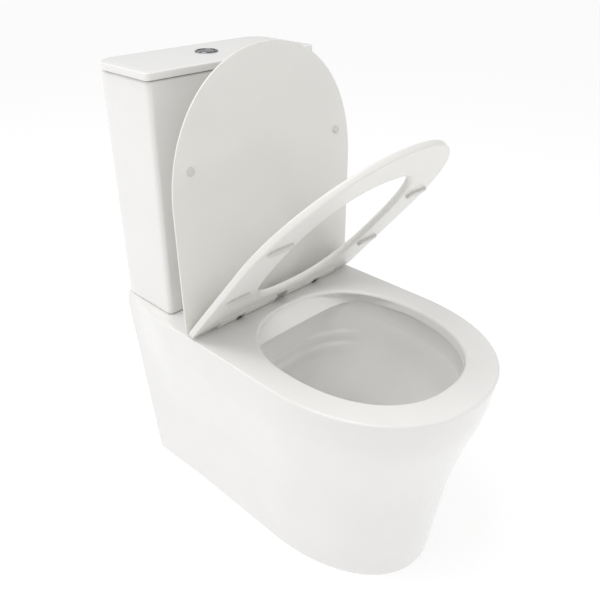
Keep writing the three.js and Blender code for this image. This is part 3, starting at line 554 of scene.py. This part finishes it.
def skirt_row(share):
    """Outer loop at a share of the height below the deck's edge."""
    top = deck_height(deck_y) - edge_radius
    z = share * top
    roll = np.clip(FOOT_RADIUS - z, 0, FOOT_RADIUS)
    half = pan_inset(pan_outline(z), FOOT_RADIUS - np.sqrt(FOOT_RADIUS ** 2 - roll ** 2))
    return np.column_stack([half, z])


def inner_skirt_row(share):
    """The same loop on the far side of the wall, up to the deck's underside."""
    z = share * UNDER_DECK_Z
    return np.column_stack([pan_inset(pan_outline(z), WALL), np.full(HALF_COLUMNS, z)])


def edge_row(angle):
    """Outer loop round the deck's edge, from the side at angle 0 to the deck at a right angle."""
    top = deck_height(deck_y)
    z = top - edge_radius * (1 - math.sin(angle))
    half = pan_inset(pan_outline(np.minimum(z, DECK_Z)), edge_radius * (1 - math.cos(angle)))
    return np.column_stack([half, z])


# %% [markdown]
# Everything inside the rim is one long passage, and each of its loops is given by eight numbers: where
# its front, widest and back points lie, its half width, and how square its front and rear are. The
# trap's loops are circles across a path, and the same numbers describe those too.

# %% Loops of the bowl and the trap
TRAP_RADIUS = 33.0
TRAP_PATH = np.array([
    (24, 106), (62, 136), (92, 178), (126, 208), (164, 213), (204, 198), (250, 183), (285, 180), (320.5, 180),
], float)

# front y, front z, widest y, widest z, back y, back z, half width, front power, rear power
BAND_TOP = (-267.6, 395.0, -82.2, 395.0, 72.6, 395.0, 143.6, 2.28, 2.28)
BAND_LOW = (-265.6, 380.5, -82.2, 386.0, 43.5, 372.0, 142.4, 2.28, 5.0)
LIP = (-265.9, 378.5, -82.2, 384.0, 43.6, 370.0, 142.8, 2.28, 5.0)
LIP_UNDER = (-267.5, 377.2, -82.2, 382.6, 46.5, 368.6, 144.6, 2.28, 4.6)
UNDERCUT = (-269.5, 374.0, -82.2, 377.0, 57.0, 364.0, 147.0, 2.28, 3.6)
BOWL_LOOPS = [
    (-269.0, 345.0, -82.0, 345.0, 64.0, 345.0, 147.0, 2.28, 2.8),
    (-247.0, 290.0, -78.0, 290.0, 58.0, 290.0, 132.0, 2.28, 2.5),
    (-209.0, 245.0, -70.0, 245.0, 48.0, 245.0, 108.0, 2.2, 2.4),
    (-167.0, 205.0, -60.0, 205.0, 33.0, 205.0, 82.0, 2.2, 2.2),
    (-127.0, 160.0, -52.0, 157.0, 14.0, 155.0, 57.0, 2.1, 2.1),
    (-101.0, 116.0, -46.0, 116.0, 2.0, 134.0, 43.0, 2.0, 2.0),
    (-84.0, 84.0, -36.0, 102.0, 5.0, 130.0, 37.0, 2.0, 2.0),
    (-50.0, 66.0, -20.0, 97.0, 8.0, 131.0, 34.0, 2.0, 2.0),
]
UNDER_DECK_LOOP = (-281.0, 384.0, -82.2, 384.0, 78.0, 384.0, 159.0, 2.28, 2.6)


def trap_loops():
    """Circles across the trap's path: the front point is the lower one and the back point the upper one."""
    along = np.gradient(TRAP_PATH, axis=0)
    along /= np.linalg.norm(along, axis=1, keepdims=True)
    up = np.stack([-along[:, 1], along[:, 0]], -1)
    lower, upper = TRAP_PATH - TRAP_RADIUS * up, TRAP_PATH + TRAP_RADIUS * up
    rest = np.tile([TRAP_RADIUS, 2.0, 2.0], (len(TRAP_PATH), 1))
    return np.hstack([lower, TRAP_PATH, upper, rest])


def passage_loop(values):
    """The right half of one loop. Across it x runs as a sine power, and the front and the rear half each follow
    a superellipse of their own: reach * (1 - (x / half width)^power)^(1 / power)."""
    front_y, front_z, wide_y, wide_z, back_y, back_z, half, front_power, rear_power = values
    front = np.linspace(0, math.pi / 2, NOSE_COLUMNS + 1)[:-1]
    rear = np.linspace(math.pi / 2, 0, REAR_COLUMNS + 1)
    across = np.sin(np.concatenate([front, rear])) ** (2 / 2.28)
    is_front = np.arange(HALF_COLUMNS) < NOSE_COLUMNS
    power = np.where(is_front, front_power, rear_power)
    reach = np.maximum(1 - across ** power, 0) ** (1 / power)
    y = wide_y + reach * np.where(is_front, front_y - wide_y, back_y - wide_y)
    z = wide_z + reach * np.where(is_front, front_z - wide_z, back_z - wide_z)
    return np.column_stack([half * across, y, z])


def grown(values, thickness):
    """The same loop, bigger all round by the wall's thickness."""
    values = np.array(values, float)
    wide = values[2:4]
    for start in (0, 4):
        away = values[start:start + 2] - wide
        values[start:start + 2] += thickness * away / np.linalg.norm(away)
    values[6] += thickness
    return values


print("trap loops:", len(trap_loops()))

# %% [markdown]
# The rows are now stacked: skirt, edge, deck, the rounded rim, the band, the lip with its undercut, and
# the passage. Rows between two given loops follow a cubic, so the bowl has no visible rings.

# %% Stack the pan's rows
RIM_RADIUS = 5.0
outer_rows, inner_rows = [], []


def add_row(outer, inner):
    """One row on the outer sheet and its partner on the inner one."""
    outer_rows.append(outer)
    inner_rows.append(inner)


for share in np.linspace(0, 1, SKIRT_ROWS) ** 1.15:
    add_row(skirt_row(share), inner_skirt_row(share))
inner_edge = inner_skirt_row(1.0)
for angle in np.linspace(0, math.pi / 2, EDGE_ROWS + 1)[1:]:
    shrink = 4.0 * angle
    half = pan_inset(inner_edge[:, :2], shrink)
    add_row(edge_row(angle), np.column_stack([half, inner_edge[:, 2]]))
skirt_end = len(outer_rows) - 1

rim = np.array(BAND_TOP) + np.array([-RIM_RADIUS, 0, 0, 0, RIM_RADIUS, 0, RIM_RADIUS, 0, 0])
rim_loop = passage_loop(rim)
rim_loop[:, 2] = DECK_Z
under_loop = passage_loop(UNDER_DECK_LOOP)
deck_edge, under_edge = outer_rows[-1], inner_rows[-1]
for share in np.linspace(0, 1, DECK_ROWS + 1)[1:]:
    outer = deck_edge + (rim_loop - deck_edge) * share
    outer[:, 2] = deck_height(outer[:, 1])
    add_row(outer, under_edge + (under_loop - under_edge) * share)

first_bowl = passage_loop(grown(BOWL_LOOPS[0], WALL - 1))


def inside_rim(loop, share):
    """A row inside the rim, whose partner slides down the bowl's outer face."""
    add_row(loop, under_loop + (first_bowl - under_loop) * share)


for angle in np.linspace(0, math.pi / 2, 7)[1:]:
    values = np.array(BAND_TOP)
    grow = RIM_RADIUS * (1 - math.sin(angle))
    values[[0, 4, 6]] += (-grow, grow, grow)
    loop = passage_loop(values)
    loop[:, 2] = DECK_Z - RIM_RADIUS * (1 - math.cos(angle))
    inside_rim(loop, 0.1 * angle)
for share in np.linspace(0, 1, 6)[1:]:
    inside_rim(passage_loop(np.array(BAND_TOP) * (1 - share) + np.array(BAND_LOW) * share), 0.2 + 0.3 * share)
for number, values in enumerate((LIP, LIP_UNDER, UNDERCUT)):
    inside_rim(passage_loop(values), 0.6 + 0.1 * number)

GUIDES_Z, GUIDE_DEPTH, GUIDE_STEP, GUIDE_RETURN = (320.0, 297.0), 3.0, 8.0, 22.0


def with_guides(loop, values):
    """Two shallow water guides round the rear of the bowl: at each the wall steps inwards by a smooth step of
    the height, and below it returns slowly."""
    middle = np.array([0, values[2]])
    away = loop[:, :2] - middle
    reach = np.maximum(np.linalg.norm(away, axis=1), 1.0)
    below = [(z - loop[:, 2]) for z in GUIDES_Z]
    step = sum(smooth_step(t / GUIDE_STEP) * (1 - smooth_step((t - GUIDE_STEP) / GUIDE_RETURN)) for t in below)
    inwards = GUIDE_DEPTH * step * smooth_step((loop[:, 1] + 5) / 45)
    return np.column_stack([middle + away * (1 - inwards / reach)[:, None], loop[:, 2]])


passage = np.vstack([np.array(BOWL_LOOPS), trap_loops()])
last_step = len(passage) - 1
steps = np.concatenate([np.linspace(0, 1, 41)[:-1], np.linspace(1, 2, 13)[:-1], np.arange(2, last_step + 1e-9, 0.2)])
for step in steps:
    values = through(np.arange(len(passage)), passage, step)
    wall = WALL - 1
    wall += 7 * smooth_step((values[2] - 264) / 2) * smooth_step((320 - values[2]) / 1.5)
    loop = passage_loop(values)
    add_row(with_guides(loop, values) if step < 2 else loop, passage_loop(grown(values, wall)))
print("pan rows:", len(outer_rows))

# %% Close the pan's shell


def shell_body(outer, inner, keep):
    """Two sheets with the same rows and columns, joined by a band along the border of the faces that are kept."""
    outer, inner = with_mirror(np.array(outer)), with_mirror(np.array(inner))
    rows, columns = outer.shape[:2]
    faces = bands(rows, columns)[keep.reshape(-1)]
    count = rows * columns
    edges = np.concatenate([faces[:, [i, (i + 1) % 4]] for i in range(4)])
    keys = edges[:, 0] * count + edges[:, 1]
    border = edges[~np.isin(keys, edges[:, 1] * count + edges[:, 0])]
    strip = np.stack([border[:, 1], border[:, 0], border[:, 0] + count, border[:, 1] + count], -1)
    points = np.concatenate([outer.reshape(-1, 3), inner.reshape(-1, 3)])
    everything = np.concatenate([faces, faces[:, ::-1] + count, strip])
    used, numbers = np.unique(everything, return_inverse=True)
    return points[used], numbers.reshape(everything.shape).tolist()


back_band = np.concatenate([IS_BACK[1:], IS_BACK[:0:-1]])
keep = np.ones((len(outer_rows) - 1, len(back_band)), bool)
keep[:skirt_end, back_band] = False

FLUSH_Y = 254.0
well = slab(circle(0, FLUSH_Y, 58, 64), 345, 386, 4, 1)


def rounded_rectangle(half, y0, y1, front_radius, back_radius, corner=10, side=6):
    """A rectangle whose front and back corners have their own radius, from the front centre anticlockwise."""
    turn = np.linspace(0, math.pi / 2, corner + 1)
    front = np.column_stack([half - front_radius + front_radius * np.sin(turn),
                             y0 + front_radius - front_radius * np.cos(turn)])
    back = np.column_stack([half - back_radius + back_radius * np.cos(turn),
                            y1 - back_radius + back_radius * np.sin(turn)])
    share = np.linspace(0, 1, side + 1)[:-1, None]
    right = [np.array([[0, y0]]) + (front[0] - np.array([0, y0])) * share, front,
             back[0] + (front[-1] - back[0]) * (1 - share[1:]), back,
             np.array([0, y1]) + (back[-1] - np.array([0, y1])) * (1 - share[1:]), np.array([[0, y1]])]
    return with_mirror(np.concatenate(right))


duct = slab(rounded_rectangle(43, 84, FLUSH_Y, 6, 6), 345, 386, 4, 1)
make_piece("pan_china", [shell_body(outer_rows, inner_rows, keep), well, duct],
                       "base", "china", ["pan"])

# %% [markdown]
# ## The cistern and its lid
#
# The cistern is a slip-cast box that widens a little downwards, with tight front corners and wide
# back ones. Lofting from its section gives both the outer face and the inside, which shows when the
# lid comes off. The lid is cast flat, overhangs the box slightly, and stands on a foot, which
# leaves a shadow line between the two.

# %% Cistern
CISTERN = {"z0": 403.5, "z1": 789.5, "half0": 172.9, "half1": 167.0, "front0": 182.6, "front1": 178.0, "wall": 9.0}


def cistern_loop(z, shrink=0.0):
    """The box's section at a height, by straight interpolation from its foot to its rim."""
    share = (z - CISTERN["z0"]) / (CISTERN["z1"] - CISTERN["z0"])
    half = CISTERN["half0"] + (CISTERN["half1"] - CISTERN["half0"]) * share
    front = CISTERN["front0"] + (CISTERN["front1"] - CISTERN["front0"]) * share
    return inset(rounded_rectangle(half, front, WALL_Y, 9, 28), shrink)


def towards(loop, centre, radius):
    """A circle with one point on the line from its centre to each point of the loop."""
    away = loop - np.array(centre)
    return np.array(centre) + radius * away / np.linalg.norm(away, axis=1, keepdims=True)


def fillet_rows(loop_at, z, radius, direction, steps=6, extra=0.0):
    """Loops round an edge of a section that changes with height: direction is 1 for a lower edge, -1 for an upper."""
    rows = []
    for angle in np.linspace(0, math.pi / 2, steps):
        height = z + direction * radius * (1 - math.sin(angle))
        rows.append(at_height(loop_at(height, extra + radius * (1 - math.cos(angle))), height))
    return rows


flush_hole = towards(cistern_loop(CISTERN["z0"]), (0, FLUSH_Y), 31)
outside = fillet_rows(cistern_loop, CISTERN["z0"], 3.5, 1)[::-1]
outside += [at_height(cistern_loop(z), z) for z in np.linspace(410, 784, 12)]
outside += fillet_rows(cistern_loop, CISTERN["z1"], 3, -1)
inside = [at_height(cistern_loop(z, CISTERN["wall"]), z) for z in np.linspace(788.5, 430, 8)]
floor_rows = []
for angle in np.linspace(0, math.pi / 2, 6):
    shrink = CISTERN["wall"] + 10 * (1 - math.cos(angle))
    floor_rows.append(at_height(cistern_loop(420, shrink), 425.5 - 10 * math.sin(angle)))
cistern_rows = outside + inside + floor_rows + [at_height(flush_hole, 415.5), at_height(flush_hole, CISTERN["z0"])]
make_piece("cistern_china", [ring_body(cistern_rows)], "base", "china", ["cistern"])

# %% Lid
LID = {"z0": 791.6, "z1": 803.0, "half": 170.4, "front": 174.4}


def lid_loop(shrink):
    """The lid's outline, moved inwards."""
    return inset(rounded_rectangle(LID["half"], LID["front"], WALL_Y, 7, 38), shrink)


button_hole = towards(lid_loop(0), (0, FLUSH_Y), 18)
lid_rows = [at_height(button_hole, LID["z1"] - 1), at_height(towards(lid_loop(0), (0, FLUSH_Y), 19), LID["z1"])]
lid_rows += [at_height(button_hole + (lid_loop(4) - button_hole) * share, LID["z1"]) for share in (0.3, 0.6, 0.9)]
lid_rows += rounded_edge(lid_loop(0), 2.6, LID["z1"], -1, 7)[::-1]
lid_rows += rounded_edge(lid_loop(0), 1.0, LID["z0"], 1, 4)
FOOT_Z, LOCATING_RIB_Z = 789.9, 779
for shrink, z in ((8, LID["z0"]), (8, FOOT_Z), (16, FOOT_Z), (16.4, LOCATING_RIB_Z + 1), (17.5, LOCATING_RIB_Z),
                  (20.5, LOCATING_RIB_Z), (22, LOCATING_RIB_Z + 1), (22.4, FOOT_Z)):
    lid_rows.append(at_height(lid_loop(shrink), z))
lid_rows.append(at_height(button_hole, FOOT_Z))
make_piece("cistern_lid_china", [ring_body(lid_rows)], "lid", "china", ["cistern_lid"])

# %% [markdown]
# ## The push button
#
# The button is a chromed collar with two plungers of unequal size, for a full and a half flush. A
# lathe profile gives the collar. Each plunger is the part of a shallow dome on its own side of a
# straight slot, so its outline is a circle cut by a line.

# %% Collar and plungers
collar = lathe(0, FLUSH_Y, [
    (16.5, 770), (16.5, 803.3), (17.5, 803.2), (18.9, 803.3), (19.1, 803.8), (18.6, 804.5), (17.4, 804.9),
    (16.0, 805.1), (15.2, 805.0), (14.8, 804.6), (14.7, 803.9), (14.7, 772.5), (14.7, 770),
], 64)
floor_plate = lathe(0, FLUSH_Y, [(0, 770), (15.5, 770), (15.5, 772.5), (0, 772.5)], 48)
make_piece("button_collar", [collar, floor_plate], "lid", "chrome", ["button_housing"])


PLUNGER_RADIUS, PLUNGER_TOP = 14.2, 804.9


def plunger_loop(low_x, high_x, radius=PLUNGER_RADIUS, count=64):
    """The part of a circle between two lines across x: each point of the circle slides onto the nearer line."""
    turn = np.linspace(0, 2 * math.pi, count, endpoint=False) - math.pi / 2
    x = np.clip(radius * np.cos(turn), low_x, high_x)
    y = np.sign(np.sin(turn)) * np.sqrt(radius ** 2 - x ** 2)
    on_line = (x <= low_x + 1e-9) | (x >= high_x - 1e-9)
    y = np.where(on_line, np.sin(turn) * radius, y)
    limit = np.sqrt(radius ** 2 - x ** 2)
    return np.column_stack([x, FLUSH_Y + np.clip(y, -limit, limit)])


def plunger(low_x, high_x):
    """A plunger with a dome that is 0.9 mm high at the middle and a softened rim."""
    loop = plunger_loop(low_x, high_x)
    centre = loop.mean(0)
    rows = [at_height(loop, 790)] + [at_height(loop, 803.4)]
    for share in (0.97, 0.9, 0.75, 0.5, 0.25):
        level = centre + (loop - centre) * share
        radial = np.hypot(level[:, 0], level[:, 1] - FLUSH_Y)
        height = PLUNGER_TOP - 0.9 * (radial / PLUNGER_RADIUS) ** 2 - 0.5 * (share == 0.97)
        rows.append(np.column_stack([level, height]))
    return slab_body(rows)


make_piece("full_flush_plunger", [plunger(-3.0, PLUNGER_RADIUS)], "full_button", "chrome", ["full_flush_button"])
make_piece("half_flush_plunger", [plunger(-PLUNGER_RADIUS, -3.6)], "half_button", "chrome", ["half_flush_button"])

# %% [markdown]
# ## The seat ring and the cover
#
# Both are moulded with one D outline and are drawn closed, in a frame whose origin is the hinge
# axis, then raised to where they stand. Working in that frame keeps the formulas simple: the seat
# is level, and a height above the hinge is a height above the seat's middle plane.

# %% Outline of the seat and its cover
HINGE_Y, HINGE_Z = 98.8, 410.6
RING_RAISED, COVER_RAISED = 50.0, 90.0
SEAT = {"half": 193.0, "rear": -6.0, "straight": 203.8, "nose": 424.1, "power": 2.11}


def sampled(corners, counts):
    """Points along straight segments between corners: counts[i] steps on segment i, the last corner included."""
    corners = np.asarray(corners, float)
    pieces = [a + (b - a) * np.linspace(0, 1, n + 1)[:-1, None] for a, b, n in zip(corners, corners[1:], counts)]
    return np.concatenate(pieces + [corners[-1:]])


def seat_outline(rear_corners, counts, rear_corner=7.0, front=46, side=26):
    """The D outline: a superellipse quarter at the nose, a straight side, a small corner, and a rear edge
    that runs through the given corners to the middle."""
    angle = np.linspace(0, math.pi / 2, front + 1)[:-1]
    x = SEAT["half"] * np.sin(angle) ** (2 / SEAT["power"])
    y = -SEAT["straight"] - (SEAT["nose"] - SEAT["straight"]) * np.cos(angle) ** (2 / SEAT["power"])
    share = np.linspace(0, 1, side + 1)[:-1]
    side_y = -SEAT["straight"] + (-SEAT["rear"] - rear_corner + SEAT["straight"]) * share
    turn = np.linspace(0, math.pi / 2, 7)
    corner = np.column_stack([SEAT["half"] - rear_corner + rear_corner * np.cos(turn),
                              -SEAT["rear"] - rear_corner + rear_corner * np.sin(turn)])
    rear = sampled([corner[-1]] + rear_corners, counts)[1:]
    return with_mirror(np.concatenate([
        np.column_stack([x, y]), np.column_stack([np.full(side, SEAT["half"]), side_y]), corner, rear,
    ]))


def oblong(x, y, length, width, steps=10):
    """A loop of two half circles joined by straight sides, long across x."""
    turn = np.linspace(-math.pi / 2, math.pi / 2, steps + 1)
    half = (length - width) / 2
    right = np.column_stack([half + width / 2 * np.cos(turn), width / 2 * np.sin(turn)])
    return np.concatenate([right, -right]) + (x, y)


def oblong_along(x, y, width, length):
    """The same loop, long across y."""
    loop = oblong(0, 0, length, width)
    return np.column_stack([-loop[:, 1], loop[:, 0]]) + (x, y)


def ring_hole(outset, count, nose_columns):
    """The opening: an egg with its widest line ahead of its middle, exponent 2.5."""
    front = np.linspace(0, math.pi / 2, nose_columns + 1)[:-1]
    rear = np.linspace(math.pi / 2, 0, count // 2 - nose_columns + 1)
    across = np.sin(np.concatenate([front, rear])) ** (2 / 2.5)
    reach = np.maximum(1 - across ** 2.5, 0) ** (1 / 2.5)
    is_front = np.arange(len(across)) < nose_columns
    y = -188.7 + reach * np.where(is_front, -349.1 + 188.7 - outset, 188.7 - 43.3 + outset)
    return with_mirror(np.column_stack([(114.2 + outset) * across, y]))


REAR_Y = -SEAT["rear"]
NOTCH = {"inner": 38, "outer": 104, "depth": -8, "push": 12, "push_depth": -14.5}
cover_outline = seat_outline([(0, REAR_Y)], [24])
ring_outline = seat_outline([
    (NOTCH["outer"], REAR_Y), (NOTCH["outer"], NOTCH["depth"]), (NOTCH["inner"], NOTCH["depth"]),
    (NOTCH["inner"], REAR_Y), (NOTCH["push"], REAR_Y), (NOTCH["push"], NOTCH["push_depth"]), (0, NOTCH["push_depth"]),
], [9, 3, 8, 3, 3, 4, 2])
print("seat outlines:", len(cover_outline), "and", len(ring_outline), "columns")

# %% Seat ring
RING_LOW, RING_HIGH = -5.5, 5.7


def hole(outset):
    """The opening with as many columns as the outline."""
    return ring_hole(outset, len(ring_outline), 46)


def short_of_notches(loop):
    """The loop with its rear edge pulled forward of the notches, so that no face runs across one."""
    return np.column_stack([loop[:, 0], np.minimum(loop[:, 1], NOTCH["push_depth"] - 5)])


def fold(loop, depth=1.6):
    """The loop lowered near the opening's rear corners, where the moulding swells into a soft fold."""
    x, y = loop[:, 0], loop[:, 1]
    swell = np.exp(-((np.abs(x) - 92) / 26) ** 2) * np.exp(-((y + 62) / 22) ** 2)
    return np.column_stack([loop[:, :2], loop[:, 2] - depth * swell])


ring_rows = rounded_edge(ring_outline, 2.0, RING_LOW, 1)[::-1] + rounded_edge(ring_outline, 3.4, RING_HIGH, -1, 6)
top_outer, top_inner = short_of_notches(inset(ring_outline, 3.4)), hole(3.6)
ring_rows += [at_height(top_outer + (top_inner - top_outer) * s, RING_HIGH) for s in (0, 0.25, 0.5, 0.75)]
for angle in np.linspace(0, math.pi / 2, 6):
    ring_rows.append(at_height(hole(3.6 * (1 - math.sin(angle))), RING_HIGH - 3.6 * (1 - math.cos(angle))))
for outset, z in ((0.3, 0.5), (1.2, -1.5), (2.8, -3.2), (4.4, -4.4), (5.6, -5.1), (6.6, -5.4)):
    ring_rows.append(at_height(hole(outset), z))
low_inner, low_outer = hole(7.8), short_of_notches(inset(ring_outline, 2.0))
ring_rows.append(at_height(low_inner, RING_LOW))
for share in np.linspace(0, 1, 13)[1:]:
    ring_rows.append(fold(at_height(low_inner + (low_outer - low_inner) * share, RING_LOW)))

STRIP_FRONT = -14.0
SKIN_NOTCH_Y, BULK_NOTCH_Y = -9, -8.2


def strip(stations, z0, z1, edge):
    """A thin strip along x whose section reaches from the front line to a rear edge given at each station."""
    turn = np.linspace(0, math.pi / 2, 4)
    rows = []
    for x, rear, shrink in stations:
        y0, y1, low, high = STRIP_FRONT + shrink, rear - shrink, z0 + shrink, z1 - shrink
        below_front = np.column_stack([y0 + edge * (1 - np.sin(turn)), low + edge * (1 - np.cos(turn))])[::-1]
        below_rear = np.column_stack([y1 - edge * (1 - np.sin(turn)), low + edge * (1 - np.cos(turn))])
        section = np.concatenate([below_front, below_rear, [(y1, high), (y0, high)]])
        rows.append(np.column_stack([np.full(len(section), x), section]))
    return slab_body(rows)


bodies = [ring_body(ring_rows)]
for side in (-1, 1):
    skin = [(12.5, REAR_Y, 0.3), (12.8, REAR_Y, 0), (82.9, REAR_Y, 0), (83, SKIN_NOTCH_Y, 0),
            (101, SKIN_NOTCH_Y, 0), (101.1, REAR_Y, 0), (139.7, REAR_Y, 0), (140, REAR_Y, 0.3)]
    bulk = [(12.8, REAR_Y, 0.1), (13, REAR_Y, 0), (37.9, REAR_Y, 0), (38, BULK_NOTCH_Y, 0),
            (104, BULK_NOTCH_Y, 0), (104.1, REAR_Y, 0), (139.5, REAR_Y, 0), (139.7, REAR_Y, 0.1)]
    for stations, z0, z1, edge in ((skin, -8.5, -7.2, 0.5), (bulk, -8.2, -4, 0.2)):
        bodies.append(strip([(side * x, rear, shrink) for x, rear, shrink in stations], z0, z1, edge))
bodies += [slab(oblong_along(x, -3.5, 1.6, 8), -9.4, -8.2, 0.5, 0.1) for x in (-134, -126.5, 134)]
make_piece("seat_ring_moulding", bodies, "seat", "seat_plastic", ["seat_ring"], raised=RING_RAISED)

# %% Release push
RIB_PITCH, RIB_HEIGHT = 4.0, 1.2


def ribbed_section(shrink):
    """The push's section across x: a flat top, and ribs below that follow a raised cosine of one pitch."""
    x = np.linspace(-11.5, 11.5, 93)
    rib = np.maximum(np.cos(2 * math.pi * x / RIB_PITCH), 0) ** 0.6 * (np.abs(x) < 9.2)
    below = np.column_stack([x, -7 - RIB_HEIGHT * rib])
    above = np.column_stack([x[::-1], np.full(len(x), 4.5)])
    loop = np.concatenate([below, above])
    centre = np.array([0, -1.3])
    return centre + (loop - centre) * (1 - shrink / np.array([11.5, 5.8]))


push_rows = []
for y, shrink in ((-10.5, 0.9), (-10.2, 0.3), (-9.6, 0), (-4, 0), (4.1, 0), (4.7, 0.3), (5, 0.9)):
    section = ribbed_section(shrink)
    push_rows.append(np.column_stack([section[:, 0], np.full(len(section), y), section[:, 1]]))
make_piece("release_push", [slab_body(push_rows)], "release", "grey_plastic", ["release_button"], raised=RING_RAISED)

# %% Seat cover
cover = slab(cover_outline, 9.3, 13.9, 0.9, 2.4, steps=6)
cover_lugs = [slab(rounded_rectangle(6, -5.4, 5.4, 1, 1, corner=3) + (side * 45, 0), -5.4, 10.3, 5.0, 0.5)
              for side in (-1, 1)]
make_piece("seat_cover_moulding", [cover] + cover_lugs, "cover", "seat_plastic", ["seat_cover"], raised=COVER_RAISED)

# %% Buffers
number = 1
for u in (112, 262):
    for x in (-152, 152):
        pad = slab(oblong(x, -u, 48, 13), -10.3, -5.3, 1.6, 0.2, steps=6)
        make_piece(f"seat_pad_{number}", [pad], "seat", "pale_rubber", [f"seat_buffer_{number}"], raised=RING_RAISED)
        number += 1
for word, x in (("left", -157), ("right", 157)):
    stud = slab(circle(x, -262, 6.6, 32), 6.0, 9.5, 2.0, 0.1, steps=7)
    make_piece(f"cover_pad_{word}", [stud], "cover", "pale_rubber", [f"cover_buffer_{word}"], raised=COVER_RAISED)

# %% [markdown]
# ## The hinge fittings
#
# Each hinge stands on a plated disc that is bolted to the deck. An arm runs forward from the disc, a
# post stands on the arm, and the post holds a damper barrel through which the pin runs. They are
# bodies of revolution with small edge radii, so each catches one thin line of light.

# %% Hinges
POST_X, FIXING_Y = 92, 133
for word, side in (("left", -1), ("right", 1)):
    disc = lathe(side * 82, FIXING_Y, rounded_bar(18.5, 400.3, 403.7, 1.0), 72)
    arm = slab(rounded_rectangle(6, HINGE_Y - 5, FIXING_Y, 3, 1) + (side * POST_X, 0), 400.3, 402.6, 0.3, 0.8)
    make_piece(f"hinge_plate_{word}", [disc, arm], "base", "chrome", [f"hinge_base_{word}"])
    cap = lathe(side * 77.5, FIXING_Y, [
        (7.2, 404.0), (8.7, 404.0), (9, 404.3), (9, 407.2), (8.7, 408.0), (8.0, 408.6), (7.0, 408.9), (3.5, 409.0),
        (0, 409.0),
    ], 48)
    make_piece(f"hinge_cap_{word}", [cap], "base", "chrome", [f"screw_cap_{word}"])
    post = lathe(side * POST_X, HINGE_Y, rounded_bar(4.2, 402.9, 407.0, 0.3), 32)
    make_piece(f"hinge_stud_{word}", [post], "base", "chrome", [f"hinge_post_{word}"])
    start, end = sorted((side * 53, side * 103))
    barrel = lathe_along_x(HINGE_Y, HINGE_Z, [
        (3.3, start), (5.7, start), (6.3, start + 0.6), (6.3, start + 5), (5.9, start + 5.4), (5.9, start + 6.6),
        (6.3, start + 7), (6.3, end - 0.6), (5.7, end), (3.3, end),
    ], 48)
    make_piece(f"hinge_barrel_{word}", [barrel], "base", "white_plastic", [f"hinge_damper_{word}"])
    start, end = sorted((side * 30, side * 118))
    pin = lathe_along_x(HINGE_Y, HINGE_Z, rounded_bar(3, start, end, 0.5), 32)
    make_piece(f"hinge_rod_{word}", [pin], "base", "steel", [f"hinge_pin_{word}"])

# %% [markdown]
# ## The floor
#
# The object stands on white paper that reaches past the view. Paper lit only by the room would turn
# grey beside the china, so it glows a little of its own, which also lifts the skirt's lower half.

# %% Floor
FLOOR_GLOW = 0.68
floor_mesh = bpy.data.meshes.new("floor")
FLOOR_HALF, FLOOR_Z = 40, -0.0005
floor_mesh.from_pydata([(x * FLOOR_HALF, y * FLOOR_HALF, FLOOR_Z) for x, y in ((-1, -1), (1, -1), (1, 1), (-1, 1))],
                       [], [(0, 1, 2, 3)])
floor = bpy.data.objects.new("floor", floor_mesh)
bpy.context.scene.collection.objects.link(floor)
floor_finish, _, _ = new_finish("studio floor, matt paper", "#A8A8A8", Roughness=0.9,
                                Emission_Color=(1, 1, 1, 1), Emission_Strength=FLOOR_GLOW)
floor_mesh.materials.append(floor_finish)

# %% The end
bpy.context.view_layer.update()
